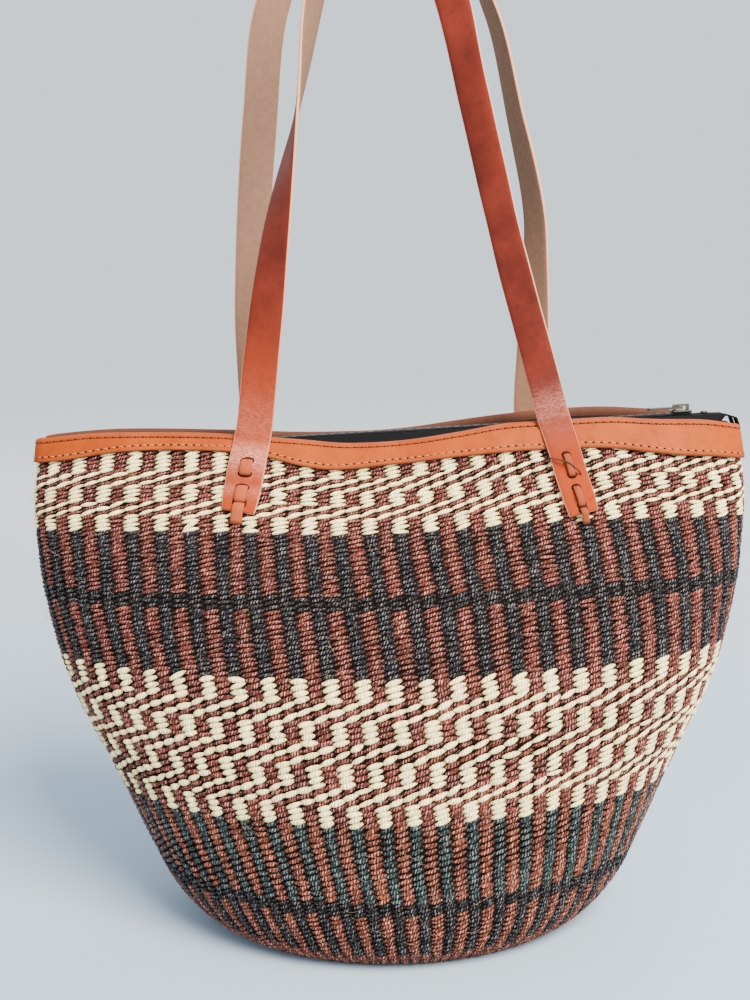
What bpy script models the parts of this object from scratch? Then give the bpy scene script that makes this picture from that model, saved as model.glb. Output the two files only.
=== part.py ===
"""Kiondo basket: a twined sisal body with a round base and a flattened mouth, a leather binding folded over
its edge, a zip across the mouth and two leather shoulder straps laced on with thongs.

Metres, +Z up. The origin is on the table under the middle of the base, X runs along the mouth, and the
front of the basket faces -Y.
"""

import math

import bmesh
import bpy
import numpy as np
from mathutils import Matrix, Vector

# Clearances, shading and rounding
GAP = 0.0003
HINGE_GAP = 0.0006
CUT_OVERRUN = 0.003
SMOOTH_ANGLE_DEG = 35.0
BEVEL_ANGLE_DEG = 60.0

# Woven body: half sizes at its widest, then how they change from the base to the mouth
BODY_HEIGHT = 0.286
BODY_HALF_WIDTH = 0.202
BODY_HALF_DEPTH = 0.094
WALL = 0.0042
FLOOR = 0.005
SECTION_HEIGHT_SHARES = (0.0, 0.03, 0.09, 0.18, 0.32, 0.50, 0.68, 0.84, 1.0)
SECTION_WIDTH_SHARES = (0.530, 0.590, 0.665, 0.728, 0.812, 0.928, 0.988, 1.0, 0.972)
SECTION_DEPTH_SHARES = (0.760, 0.860, 0.940, 0.985, 1.0, 0.915, 0.730, 0.480, 0.240)
SECTION_POWERS = (2.0, 2.0, 2.0, 2.0, 2.0, 2.1, 2.4, 3.4, 6.0)
BODY_COLUMNS = 88
BODY_ROWS = 13
INNER_ROWS = 8
ROW_CROWDING_POWER = 1.25
COLUMN_CROWDING_SHARE = 0.5
QUADRANT_SAMPLES = 1200

# Wave of the mouth's edge, higher and lower than its mean along X
RIM_WAVE = 0.006
WAVE_PLACE_SHARES = (-1.0, -0.8, -0.5, -0.25, -0.1, 0.05, 0.2, 0.33, 0.47, 0.62, 0.75, 0.9, 1.0)
FRONT_WAVE_SHARES = (0.0, 0.5, 0.28, -0.47, -0.92, -0.73, -0.08, 0.6, 0.8, 0.97, 0.7, 0.5, 0.0)
REAR_WAVE_SHARES = (0.0, 0.3, 0.0, -0.4, -0.42, -0.2, 0.4, 0.9, 1.3, 1.5, 1.3, 0.8, 0.0)
WAVE_FADE_POWER = 4

# Leather binding of the mouth, one length for each half
BINDING_LEATHER = 0.0016
BINDING_EASE = 0.0006
BINDING_OUTER_HEIGHT = 0.019
BINDING_END_EASE = 0.0004
BINDING_ROW_COUNT = 3
BINDING_INNER_ROW_COUNT = 2
TOP_ROUND_SHARE = 0.3

# Shoulder straps: the laced ends lie on the weave and climb a ramp to lie over the binding
STRAP_WIDTH = 0.020
STRAP_LEATHER = 0.0026
STRAP_EDGE_ROUND = 0.0004
STRAP_RAMP = 0.003
STRAP_RAMP_LEAD = 0.0025
STRAP_LAP_ROW_COUNT = 4
HINGE_RISE = 0.003
STRAP_STATIONS = 46

# Front strap: where its legs meet the mouth, and the loop's centre line and twist from left to right
FRONT_LEFT_PLACE = -0.073
FRONT_RIGHT_PLACE = 0.094
FRONT_LEFT_LEAN_SHARE = -0.08
FRONT_RIGHT_LEAN_SHARE = 0.22
FRONT_LEFT_BELOW_BINDING = 0.0172
FRONT_RIGHT_BELOW_BINDING = 0.0256
FRONT_LOOP_RISE = 0.262
FRONT_ACROSS_SHARES = (-1.0, -0.93, -0.805, -0.64, -0.51, -0.34, -0.12, 0.11, 0.32, 0.48, 0.69, 0.88, 1.0)
FRONT_UP_SHARES = (0.0, 0.16, 0.40, 0.64, 0.85, 0.965, 1.0, 0.965, 0.85, 0.64, 0.36, 0.14, 0.0)
FRONT_TWISTS_DEG = (0.0, 12.0, 42.0, 88.0, 116.0, 100.0, 62.0, 20.0, -16.0, -28.0, -20.0, -8.0, 0.0)

# Rear strap
REAR_LEFT_PLACE = -0.078
REAR_RIGHT_PLACE = 0.086
REAR_LEFT_LEAN_SHARE = -0.05
REAR_RIGHT_LEAN_SHARE = 0.06
REAR_LEFT_BELOW_BINDING = 0.0235
REAR_RIGHT_BELOW_BINDING = 0.0235
REAR_LOOP_RISE = 0.272
REAR_ACROSS_SHARES = (-1.0, -1.01, -0.975, -0.895, -0.80, -0.56, -0.12, 0.42, 0.715, 0.88, 1.035, 1.02, 1.0)
REAR_UP_SHARES = (0.0, 0.16, 0.38, 0.62, 0.82, 0.955, 1.0, 0.955, 0.82, 0.62, 0.36, 0.14, 0.0)
REAR_TWISTS_DEG = (0.0, 2.0, 6.0, 12.0, 22.0, 50.0, 84.0, 96.0, 80.0, 72.0, 58.0, 30.0, 0.0)

# Leather lacing: its first slot is in the binding, four are in the strap below it and the last is in the weave
LACE_WIDTH = 0.0044
LACE_LEATHER = 0.0014
LACE_CLEARANCE = 0.00035
LACE_BEND = 0.0007
LACE_BEND_SHARE = 0.4
LACE_TAIL = 0.008
LACE_BINDING_SHARE = 0.53
LACE_STRAP_SHARES = (0.15, 0.36, 0.71, 0.87)
LACE_LAST_STEP = 0.0056
LACE_END_LIFT = 0.0006

# Zip, on one straight line that climbs to the right
ZIP_END_MARGIN = 0.018
ZIP_SLOPE_SHARE = 0.040
ZIP_DROP = 0.0005
TAPE_THICKNESS = 0.0008
TAPE_CHANNEL = 0.0012
TAPE_FLAT_MARGIN = 0.0015
TAPE_SLOPE_SHARE = 0.35
TAPE_HEM_DROP = 0.0035
TAPE_LEFT_END = 0.004
TAPE_RIGHT_END = 0.004
TAPE_STATIONS = 30
TAIL_WIDTH = 0.0055
TAIL_DROP = 0.016
TAIL_STANDOFF = 0.002
TAIL_BEND = 0.006
TAIL_BEND_OUT_SHARES = (-1.0, 0.0, 0.25)
TAIL_BEND_DOWN_SHARES = (0.0, 0.33, 1.0)
TOOTH_PITCH = 0.0055
TOOTH_SHARE = 0.55
TOOTH_REACH = 0.0012
TOOTH_ROOT = 0.0012
TOOTH_THICKNESS = 0.0010
SLIDER_LENGTH = 0.0105
SLIDER_WIDTH = 0.0094
SLIDER_PLATE = 0.0011
SLIDER_POST = 0.0005
SLIDER_POST_LENGTH = 0.004
SLIDER_POST_SETBACK = 0.0006
SLIDER_ROUND = 0.0004
CROWN_WIDTH = 0.0022
CROWN_RISE = 0.0034
CROWN_BAR = 0.0011
CROWN_LEG = 0.0015
PULL_LENGTH = 0.019
PULL_WIDTH = 0.0056
PULL_THICKNESS = 0.0012
PULL_END_BAR = 0.0012
PULL_EYE_LENGTH = 0.0046
PULL_EYE_EASE = 0.0005
STOP_LENGTH = 0.0028
STOP_WIDTH = 0.0052
STOP_HEIGHT = 0.0011
STOP_ROUND = 0.0003

# Colours (linear) with roughness and metallic
SISAL = ((0.16, 0.08, 0.05), 0.85, 0.0)
BINDING_TAN = ((0.55, 0.19, 0.08), 0.5, 0.0)
STRAP_TAN = ((0.50, 0.13, 0.05), 0.42, 0.0)
LACE_TAN = ((0.60, 0.25, 0.13), 0.6, 0.0)
TAPE_BLACK = ((0.012, 0.012, 0.014), 0.8, 0.0)
TEETH_BLACK = ((0.02, 0.02, 0.022), 0.35, 0.0)
ZIP_METAL = ((0.42, 0.36, 0.26), 0.3, 1.0)

FRONT_SIGN = -1.0
REAR_SIGN = 1.0

TAPE_EDGE = TAPE_CHANNEL / 2 + TOOTH_REACH


def smooth_curve(places, values, at):
    """Smooth curve through the given points, flat where they turn back, read at the given places."""
    places = np.asarray(places, float)
    values = np.asarray(values, float)
    at = np.clip(np.asarray(at, float), places[0], places[-1])
    rise = np.diff(values) / np.diff(places)
    slopes = np.concatenate([[rise[0]], (rise[:-1] + rise[1:]) / 2, [rise[-1]]])
    turns = np.concatenate([[False], rise[:-1] * rise[1:] <= 0, [False]])
    slopes[turns] = 0.0
    index = np.clip(np.searchsorted(places, at, side="right") - 1, 0, len(places) - 2)
    width = places[index + 1] - places[index]
    t = (at - places[index]) / width
    start = (1 + 2 * t) * (1 - t) ** 2 * values[index] + t * (1 - t) ** 2 * width * slopes[index]
    end = t**2 * (3 - 2 * t) * values[index + 1] + t**2 * (t - 1) * width * slopes[index + 1]
    return start + end


def section(share):
    """Half width, half depth and squareness of the body's outer face at a share of its height."""
    half_width = BODY_HALF_WIDTH * smooth_curve(SECTION_HEIGHT_SHARES, SECTION_WIDTH_SHARES, share)
    half_depth = BODY_HALF_DEPTH * smooth_curve(SECTION_HEIGHT_SHARES, SECTION_DEPTH_SHARES, share)
    power = smooth_curve(SECTION_HEIGHT_SHARES, SECTION_POWERS, share)
    return half_width, half_depth, power


def lift(x, side, share):
    """How far the wave of the mouth raises a point of the wall, fading towards the base."""
    mouth_half_width = section(1.0)[0]
    front = smooth_curve(WAVE_PLACE_SHARES, FRONT_WAVE_SHARES, np.asarray(x) / mouth_half_width)
    rear = smooth_curve(WAVE_PLACE_SHARES, REAR_WAVE_SHARES, np.asarray(x) / mouth_half_width)
    to_rear = np.clip(0.5 + 0.5 * np.asarray(side), 0.0, 1.0)
    wave = RIM_WAVE * (front * (1 - to_rear) + rear * to_rear)
    return wave * np.clip(share, 0.0, 1.0) ** WAVE_FADE_POWER


def column_fractions():
    """Where the body's columns stand round its edge, from 0 to 1, closer together at the two ends."""
    even = np.arange(BODY_COLUMNS) / BODY_COLUMNS
    return even - COLUMN_CROWDING_SHARE * np.sin(4 * math.pi * even) / (4 * math.pi)


def ring(share, inset, fractions):
    """Points of the wall at one height share, moved in by inset, at equal-length fractions of its edge."""
    half_width, half_depth, power = section(share)
    angle = np.linspace(0.0, math.pi / 2, QUADRANT_SAMPLES)
    reach = np.abs(np.cos(angle) / (half_width - inset)) ** power
    reach = (reach + np.abs(np.sin(angle) / (half_depth - inset)) ** power) ** (-1 / power)
    x = reach * np.cos(angle)
    y = reach * np.sin(angle)
    run = np.concatenate([[0.0], np.cumsum(np.hypot(np.diff(x), np.diff(y)))])
    run /= run[-1]
    fractions = np.asarray(fractions) % 1.0
    quarter = np.minimum((fractions * 4).astype(int), 3)
    within = fractions * 4 - quarter
    backwards = quarter % 2 == 1
    within = np.where(backwards, 1 - within, within)
    sign_x = np.where((quarter == 0) | (quarter == 3), 1.0, -1.0)
    sign_y = np.where(quarter < 2, 1.0, -1.0)
    px = sign_x * np.interp(within, run, x)
    py = sign_y * np.interp(within, run, y)
    side = py / section(share)[1]
    pz = share * BODY_HEIGHT + lift(px, side, share)
    return np.stack([px, py, pz], axis=-1)


def wall_y(x, z, inset, side):
    """Y of the wall's face at x and z on the front or rear side, moved in by inset."""
    share = z / BODY_HEIGHT
    for _ in range(4):
        share = (z - lift(x, side, share)) / BODY_HEIGHT
    half_width, half_depth, power = section(share)
    across = np.clip(np.abs(x) / (half_width - inset), 0.0, 1.0)
    return float(side * (half_depth - inset) * (1 - across**power) ** (1 / power))


def mouth_z(x, side):
    """Height of the woven edge at x."""
    return float(BODY_HEIGHT + lift(x, side, 1.0))


def new_material(name, look):
    """Principled material of one colour, roughness and metallic value."""
    colour, roughness, metallic = look
    material = bpy.data.materials.new(name)
    material.use_nodes = True
    shader = material.node_tree.nodes["Principled BSDF"]
    shader.inputs["Base Color"].default_value = (*colour, 1.0)
    shader.inputs["Roughness"].default_value = roughness
    shader.inputs["Metallic"].default_value = metallic
    return material


def add_mesh(name, mesh, collection, look):
    """Object for a finished mesh, in its collection, with its material and smooth shading."""
    mesh.name = name
    thing = bpy.data.objects.new(name, mesh)
    collection.objects.link(thing)
    mesh.materials.append(new_material(name, look))
    mesh.shade_smooth()
    mesh.set_sharp_from_angle(angle=math.radians(SMOOTH_ANGLE_DEG))
    return thing


def mark_cutter(thing):
    """Shows an object as a wire guide that is not rendered."""
    thing.hide_render = True
    thing.display_type = "WIRE"
    return thing


def set_origin(thing, origin):
    """Moves an object's origin without moving its shape."""
    thing.data.transform(Matrix.Translation(-Vector(origin)))
    thing.location = origin
    return thing


def loft(rings, closed_rings=True, capped=True):
    """Mesh through rings of points, each ring a closed or open row of equal count."""
    shape = bmesh.new()
    rows = [[shape.verts.new(Vector(p)) for p in row] for row in rings]
    count = len(rows[0])
    for low, high in zip(rows, rows[1:]):
        for i in range(count if closed_rings else count - 1):
            j = (i + 1) % count
            shape.faces.new((low[i], low[j], high[j], high[i]))
    if capped:
        shape.faces.new(rows[0][::-1])
        shape.faces.new(rows[-1])
        bmesh.ops.recalc_face_normals(shape, faces=shape.faces)
    mesh = bpy.data.meshes.new("loft")
    shape.to_mesh(mesh)
    shape.free()
    return mesh


def add_sheet(name, grid, thickness, offset, collection, look, bevel=0.0):
    """Leather or tape sheet through a grid of points, thickened to one face (1, -1) or to both (0)."""
    sheet = add_mesh(name, loft(grid, closed_rings=False, capped=False), collection, look)
    solidify = sheet.modifiers.new("thickness", "SOLIDIFY")
    solidify.thickness = thickness
    solidify.offset = offset
    solidify.use_even_offset = True
    if bevel > 0:
        rounding = sheet.modifiers.new("edge round", "BEVEL")
        rounding.width = bevel
        rounding.segments = 1
        rounding.limit_method = "ANGLE"
        rounding.angle_limit = math.radians(BEVEL_ANGLE_DEG)
    return sheet


def add_outline(name, points, thickness, place, turn, collection, look):
    """Flat outline extruded to a thickness, its plane turned to a matrix of three axes round a place."""
    curve = bpy.data.curves.new(name, "CURVE")
    curve.dimensions = "2D"
    curve.fill_mode = "BOTH"
    curve.extrude = thickness / 2
    spline = curve.splines.new("POLY")
    spline.points.add(len(points) - 1)
    for point, (x, y) in zip(spline.points, points):
        point.co = (x, y, 0.0, 1.0)
    spline.use_cyclic_u = True
    curve.materials.append(new_material(name, look))
    thing = bpy.data.objects.new(name, curve)
    collection.objects.link(thing)
    thing.matrix_world = Matrix.Translation(place) @ Matrix(turn).transposed().to_4x4()
    return thing


def add_box(name, size, centre, turn, collection, look=None, bevel=0.0):
    """Box of a size round a centre, turned to a matrix of three axes; a cutter where it has no look."""
    shape = bmesh.new()
    bmesh.ops.create_cube(shape, size=1.0)
    placed = Matrix.Translation(centre) @ Matrix(turn).transposed().to_4x4() @ Matrix.Diagonal((*size, 1.0))
    bmesh.ops.transform(shape, matrix=placed, verts=shape.verts)
    bmesh.ops.recalc_face_normals(shape, faces=shape.faces)
    if bevel > 0:
        bmesh.ops.bevel(shape, geom=shape.edges[:], offset=bevel, segments=1, affect="EDGES")
    mesh = bpy.data.meshes.new(name)
    shape.to_mesh(mesh)
    shape.free()
    if look is not None:
        return add_mesh(name, mesh, collection, look)
    thing = bpy.data.objects.new(name, mesh)
    collection.objects.link(thing)
    return mark_cutter(thing)


def join_meshes(name, things, collection):
    """One object from several in the same collection, its bodies kept apart."""
    shape = bmesh.new()
    for thing in things:
        shape.from_mesh(thing.data)
        bpy.data.objects.remove(thing)
    mesh = bpy.data.meshes.new(name)
    shape.to_mesh(mesh)
    shape.free()
    joined = bpy.data.objects.new(name, mesh)
    collection.objects.link(joined)
    return joined


def add_boolean(thing, other, operation):
    """Exact Boolean of another object on a piece."""
    boolean = thing.modifiers.new(operation.lower() + " " + other.name, "BOOLEAN")
    boolean.operation = operation
    boolean.solver = "EXACT"
    boolean.object = other


def band_shares():
    """Height shares of the rows under the binding's outer leaf, from its lower edge to the woven edge."""
    low = 1 - BINDING_OUTER_HEIGHT / BODY_HEIGHT
    return np.linspace(low, 1.0, BINDING_ROW_COUNT + 1)


def build_body(collection):
    """Woven body: outer face up from the flat base, over the edge and down the inner face to the floor."""
    fractions = column_fractions()
    band = band_shares()
    outer = np.linspace(0.0, 1.0, BODY_ROWS)[:-1] ** ROW_CROWDING_POWER
    inner = np.linspace(0.0, 1.0, INNER_ROWS)[:-1] ** ROW_CROWDING_POWER
    floor_share = FLOOR / BODY_HEIGHT
    outer_shares = np.concatenate([band[0] * outer, band])
    inner_shares = np.concatenate([floor_share + (band[0] - floor_share) * inner, band])
    rings = [ring(share, 0.0, fractions) for share in outer_shares]
    rings += [ring(share, WALL, fractions) for share in inner_shares[::-1]]
    return add_mesh("woven_body", loft(rings), collection, SISAL)


def build_binding(name, side, collection):
    """Leather strip folded over one half of the woven edge, an outer and an inner leaf joined at the top."""
    columns = column_fractions()
    perimeter = np.hypot(*np.diff(ring(1.0, 0.0, columns)[:, :2], axis=0).T).sum()
    end = (TAPE_EDGE + TAIL_WIDTH + BINDING_END_EASE) / perimeter
    start = 0.5 if side == FRONT_SIGN else 0.0
    fractions = columns[(columns > start + end) & (columns < start + 0.5 - end)]
    band = band_shares()
    inner_band = band[-BINDING_INNER_ROW_COUNT - 1 :]
    under = 1 + GAP / BODY_HEIGHT
    top = 1 + (GAP + BINDING_LEATHER) / BODY_HEIGHT
    outside = -(BINDING_EASE + BINDING_LEATHER)
    inside_face = WALL + BINDING_EASE + BINDING_LEATHER
    round_in = BINDING_LEATHER * TOP_ROUND_SHARE
    outline = [(outside, share) for share in band]
    outline += [(outside, under), (outside + round_in, top), (inside_face - round_in, top), (inside_face, under)]
    outline += [(inside_face, share) for share in inner_band[::-1]]
    outline += [(WALL + BINDING_EASE, share) for share in inner_band]
    outline += [(WALL + BINDING_EASE, under), (-BINDING_EASE, under)]
    outline += [(-BINDING_EASE, share) for share in band[::-1]]
    lines = np.stack([ring(share, inset, fractions) for inset, share in outline])
    return add_mesh(name, loft(np.swapaxes(lines, 0, 1)), collection, BINDING_TAN)


def strap_inset(drop):
    """How far outside the wall a strap end lies: on the weave, then climbing to lie over the binding."""
    on_weave = -GAP
    on_binding = -(BINDING_EASE + BINDING_LEATHER + GAP)
    ramp_low = BINDING_OUTER_HEIGHT + STRAP_RAMP_LEAD + STRAP_RAMP
    climb = min(max((ramp_low - drop) / STRAP_RAMP, 0.0), 1.0)
    return on_weave + (on_binding - on_weave) * climb


class LapLine:
    """Line down the wall that a strap end follows, below one place on the mouth."""

    def __init__(self, side, place, lean, below_binding):
        self.side = side
        self.place = place
        self.lean = lean
        self.below_binding = below_binding
        self.lap = BINDING_OUTER_HEIGHT + below_binding
        self.edge = mouth_z(place, side)

    def point(self, drop, across, inset=None):
        """Point of the wall at a drop below the edge, across the strap, moved out as the strap is."""
        x = self.place + self.lean * drop + across
        z = self.edge - drop + self.lean * across * max(drop, 0.0) / self.lap
        if inset is None:
            inset = strap_inset(drop)
        return Vector((x, wall_y(x, z, inset, self.side), z))

    def axes(self, drop):
        """Across, down and outward directions on the wall at a drop."""
        half = STRAP_WIDTH / 2
        across = (self.point(drop, half, 0.0) - self.point(drop, -half, 0.0)).normalized()
        down = (self.point(drop + LACE_WIDTH, 0.0, 0.0) - self.point(drop, 0.0, 0.0)).normalized()
        outward = across.cross(down).normalized()
        return across, down, outward * math.copysign(1.0, outward.y * self.side)

    def x_at(self, height):
        """X of the line at a height above the edge."""
        return self.place - self.lean * (height - self.edge)


class Strap:
    """Shoulder strap: the lines its two legs follow, and the centre line and twist of its free loop."""

    def __init__(self, name, side, places, leans, below_bindings, rise, across_shares, up_shares, twists):
        self.name = name
        self.side = side
        self.left = LapLine(side, places[0], leans[0], below_bindings[0])
        self.right = LapLine(side, places[1], leans[1], below_bindings[1])
        self.rise = rise
        self.across_shares = across_shares
        self.up_shares = up_shares
        self.twists = twists

    def fold_z(self):
        """Height of the fold where the loop leaves the two laced ends."""
        return max(self.left.edge, self.right.edge) + BINDING_LEATHER + HINGE_RISE

    def outer_y(self):
        """Y of the strap's outer face where it stands up beside the mouth."""
        return self.side * (section(1.0)[1] + BINDING_EASE + BINDING_LEATHER + GAP + STRAP_LEATHER)

    def build_end(self, name, line, collection):
        """Laced end: it lies on the weave, climbs over the binding and stands up to the fold."""
        top = self.fold_z() - HINGE_GAP
        ramp_top = BINDING_OUTER_HEIGHT + STRAP_RAMP_LEAD
        drops = np.linspace(line.lap, ramp_top + STRAP_RAMP, STRAP_LAP_ROW_COUNT)
        drops = np.concatenate([drops, [ramp_top + STRAP_RAMP / 2], np.linspace(ramp_top, 0.0, STRAP_LAP_ROW_COUNT)])
        shifts = (-STRAP_WIDTH / 2, 0.0, STRAP_WIDTH / 2)
        grid = [[line.point(drop, shift) for shift in shifts] for drop in drops]
        inner_y = self.outer_y() - self.side * STRAP_LEATHER
        grid.append([Vector((line.x_at(top) + shift, inner_y, top)) for shift in shifts])
        return add_sheet(name, grid, STRAP_LEATHER, -self.side, collection, STRAP_TAN, STRAP_EDGE_ROUND)

    def build_loop(self, collection):
        """Free loop: a band on a smooth line in its own upright plane, twisted about that line."""
        fold_z = self.fold_z()
        roots = (self.left.x_at(fold_z), self.right.x_at(fold_z))
        knots = np.linspace(0.0, 1.0, len(self.across_shares))
        at = np.linspace(0.0, 1.0, STRAP_STATIONS)
        across_share = smooth_curve(knots, self.across_shares, at)
        x = (roots[0] + roots[1]) / 2 + (roots[1] - roots[0]) / 2 * across_share
        z = fold_z + self.rise * smooth_curve(knots, self.up_shares, at)
        twist = np.radians(smooth_curve(knots, self.twists, at))
        tangent = np.stack([np.gradient(x), np.gradient(z)], axis=-1)
        tangent /= np.linalg.norm(tangent, axis=1)[:, None]
        centre_y = self.outer_y() - self.side * STRAP_LEATHER / 2
        grid = []
        for i in range(STRAP_STATIONS):
            along = Vector((tangent[i][0], 0.0, tangent[i][1]))
            outward = Vector((-tangent[i][1], 0.0, tangent[i][0]))
            face = math.cos(twist[i]) * Vector((0.0, self.side, 0.0)) + math.sin(twist[i]) * outward
            across = along.cross(face).normalized() * self.side
            if i in (0, STRAP_STATIONS - 1):
                across = Vector((math.copysign(1.0, across.x), 0.0, 0.0))
            half = across * STRAP_WIDTH / 2
            centre = Vector((x[i], centre_y, z[i]))
            grid.append([centre - half, centre, centre + half])
        name = self.name + "_loop"
        loop = add_sheet(name, grid, STRAP_LEATHER, 0.0, collection, STRAP_TAN, STRAP_EDGE_ROUND)
        return set_origin(loop, (0.0, self.outer_y(), fold_z))


def lace_drops(line):
    """Drops below the woven edge of the six slots of a thong on its line."""
    in_strap = [BINDING_OUTER_HEIGHT + share * line.below_binding for share in LACE_STRAP_SHARES]
    return [BINDING_OUTER_HEIGHT * LACE_BINDING_SHARE, *in_strap, line.lap + LACE_LAST_STEP]


def lace_route(line):
    """Centre line of a thong through the strap end on its line, as (drop, height over the wall) pairs."""
    stand = GAP + LACE_LEATHER / 2
    over_weave = GAP + STRAP_LEATHER + stand
    over_binding = over_weave + BINDING_EASE + BINDING_LEATHER
    inside = -(WALL + stand)
    inside_binding = inside - BINDING_EASE - BINDING_LEATHER
    first, second, third, fourth, fifth, last = lace_drops(line)
    return [
        (first + LACE_TAIL, inside_binding),
        (first, inside_binding),
        (first, over_binding),
        (second, over_binding),
        (second, inside),
        (third, inside),
        (third, over_weave),
        (fourth, over_weave),
        (fourth, inside),
        (fifth, inside),
        (fifth, over_weave),
        (line.lap + stand + LACE_LEATHER, over_weave),
        (last, stand + LACE_END_LIFT),
        (last, inside),
        (last + LACE_TAIL, inside),
    ]


def rounded(points, radius):
    """Polyline whose corners are replaced by the ends and middle of a small parabolic bend."""
    result = [points[0]]
    for before, corner, after in zip(points, points[1:], points[2:]):
        shorter = min((before - corner).length, (after - corner).length)
        reach = min(radius, shorter * LACE_BEND_SHARE)
        enter = corner + (before - corner).normalized() * reach
        leave = corner + (after - corner).normalized() * reach
        result += [enter, (enter + leave) / 4 + corner / 2, leave]
    result.append(points[-1])
    return result


def build_lace(name, line, collection):
    """Leather thong that stitches one strap end to the weave, in and out through its slots."""
    points = []
    for drop, height in lace_route(line):
        outward = line.axes(min(drop, line.lap))[2]
        points.append(line.point(drop, 0.0, 0.0) + outward * height)
    across = line.axes(line.lap / 2)[0]
    route = rounded(points, LACE_BEND)
    rings = []
    for i, here in enumerate(route):
        before = (here - route[i - 1]).normalized() if i > 0 else (route[1] - here).normalized()
        after = (route[i + 1] - here).normalized() if i + 1 < len(route) else before
        normal = (before + after).cross(across).normalized() * LACE_LEATHER / 2
        half = across * LACE_WIDTH / 2
        rings.append([here - half - normal, here + half - normal, here + half + normal, here - half + normal])
    return add_mesh(name, loft(rings), collection, LACE_TAN)


def slot_cutters(name, line, cutters):
    """Slots for a thong, square to the wall, through everything at its drops."""
    depth = 2 * (WALL + BINDING_LEATHER + STRAP_LEATHER + CUT_OVERRUN)
    size = (LACE_WIDTH + 2 * LACE_CLEARANCE, LACE_LEATHER + 2 * LACE_CLEARANCE, depth)
    boxes = []
    for i, drop in enumerate(lace_drops(line)):
        turn = line.axes(min(drop, line.lap))
        boxes.append(add_box(f"{name}_{i}", size, line.point(drop, 0.0, 0.0), turn, cutters))
    return mark_cutter(join_meshes(name, boxes, cutters))


def zip_half_length():
    """Half length of the row of teeth, which ends short of the mouth's corners."""
    return float(section(1.0)[0]) - ZIP_END_MARGIN


def zip_z(x):
    """Height of the zip's line at x."""
    return BODY_HEIGHT - ZIP_DROP + ZIP_SLOPE_SHARE * x


def zip_turn():
    """Along, across and up directions of the zip's line."""
    along = Vector((1.0, 0.0, ZIP_SLOPE_SHARE)).normalized()
    across = Vector((0.0, 1.0, 0.0))
    return along, across, along.cross(across)


def build_tape(name, side, collection):
    """Zip tape from the teeth to the binding's inner leaf, its right end carried out over the edge and down."""
    hem_inset = WALL + BINDING_EASE + BINDING_LEATHER + TAPE_THICKNESS
    flat_y = side * (SLIDER_WIDTH / 2 + TAPE_FLAT_MARGIN)
    left = -zip_half_length() - TAPE_LEFT_END
    right = zip_half_length() + TAPE_RIGHT_END
    grid = []
    for x in np.linspace(left, right, TAPE_STATIONS):
        z = zip_z(x)
        hem_z = mouth_z(x, side) - TAPE_HEM_DROP
        hem_y = wall_y(x, hem_z, hem_inset, side)
        middle = ((flat_y + hem_y) / 2, hem_z + (z - hem_z) * TAPE_SLOPE_SHARE)
        grid.append([Vector((x, *point)) for point in ((side * TAPE_EDGE, z), (flat_y, z), middle, (hem_y, hem_z))])
    end_x = float(section(1.0)[0]) + GAP + TAPE_THICKNESS
    tail_z = BODY_HEIGHT - TAIL_DROP
    tail_x = float(section(tail_z / BODY_HEIGHT)[0]) + TAIL_STANDOFF
    bend = zip(TAIL_BEND_OUT_SHARES, TAIL_BEND_DOWN_SHARES)
    run = [(end_x + out * TAIL_BEND, zip_z(right) - down * TAIL_BEND) for out, down in bend]
    for x, z in [*run, (tail_x, tail_z)]:
        ys = side * np.linspace(TAPE_EDGE, TAPE_EDGE + TAIL_WIDTH, len(grid[0]))
        grid.append([Vector((x, y, z)) for y in ys])
    return add_sheet(name, grid, TAPE_THICKNESS, 0.0, collection, TAPE_BLACK)


def build_teeth(name, side, collection):
    """Row of zip teeth on one tape's edge: a toothed outline extruded to the teeth's thickness."""
    count = int(2 * zip_half_length() / TOOTH_PITCH)
    start = -count * TOOTH_PITCH / 2
    tip = TAPE_CHANNEL / 2
    valley = TAPE_EDGE - GAP
    outline = [(start, valley + TOOTH_ROOT)]
    for i in range(count):
        left = start + i * TOOTH_PITCH
        right = left + TOOTH_PITCH * TOOTH_SHARE
        outline += [(left, valley), (left, tip), (right, tip), (right, valley)]
    outline = [outline[0], *outline[2:-1], (outline[-1][0], valley + TOOTH_ROOT)]
    points = [(x, side * y) for x, y in outline]
    turn = zip_turn()
    place = Vector((0.0, 0.0, zip_z(0.0))) + turn[2] * ((TAPE_THICKNESS + TOOTH_THICKNESS) / 2 + GAP)
    return add_outline(name, points, TOOTH_THICKNESS, place, turn, collection, TEETH_BLACK)


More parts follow.
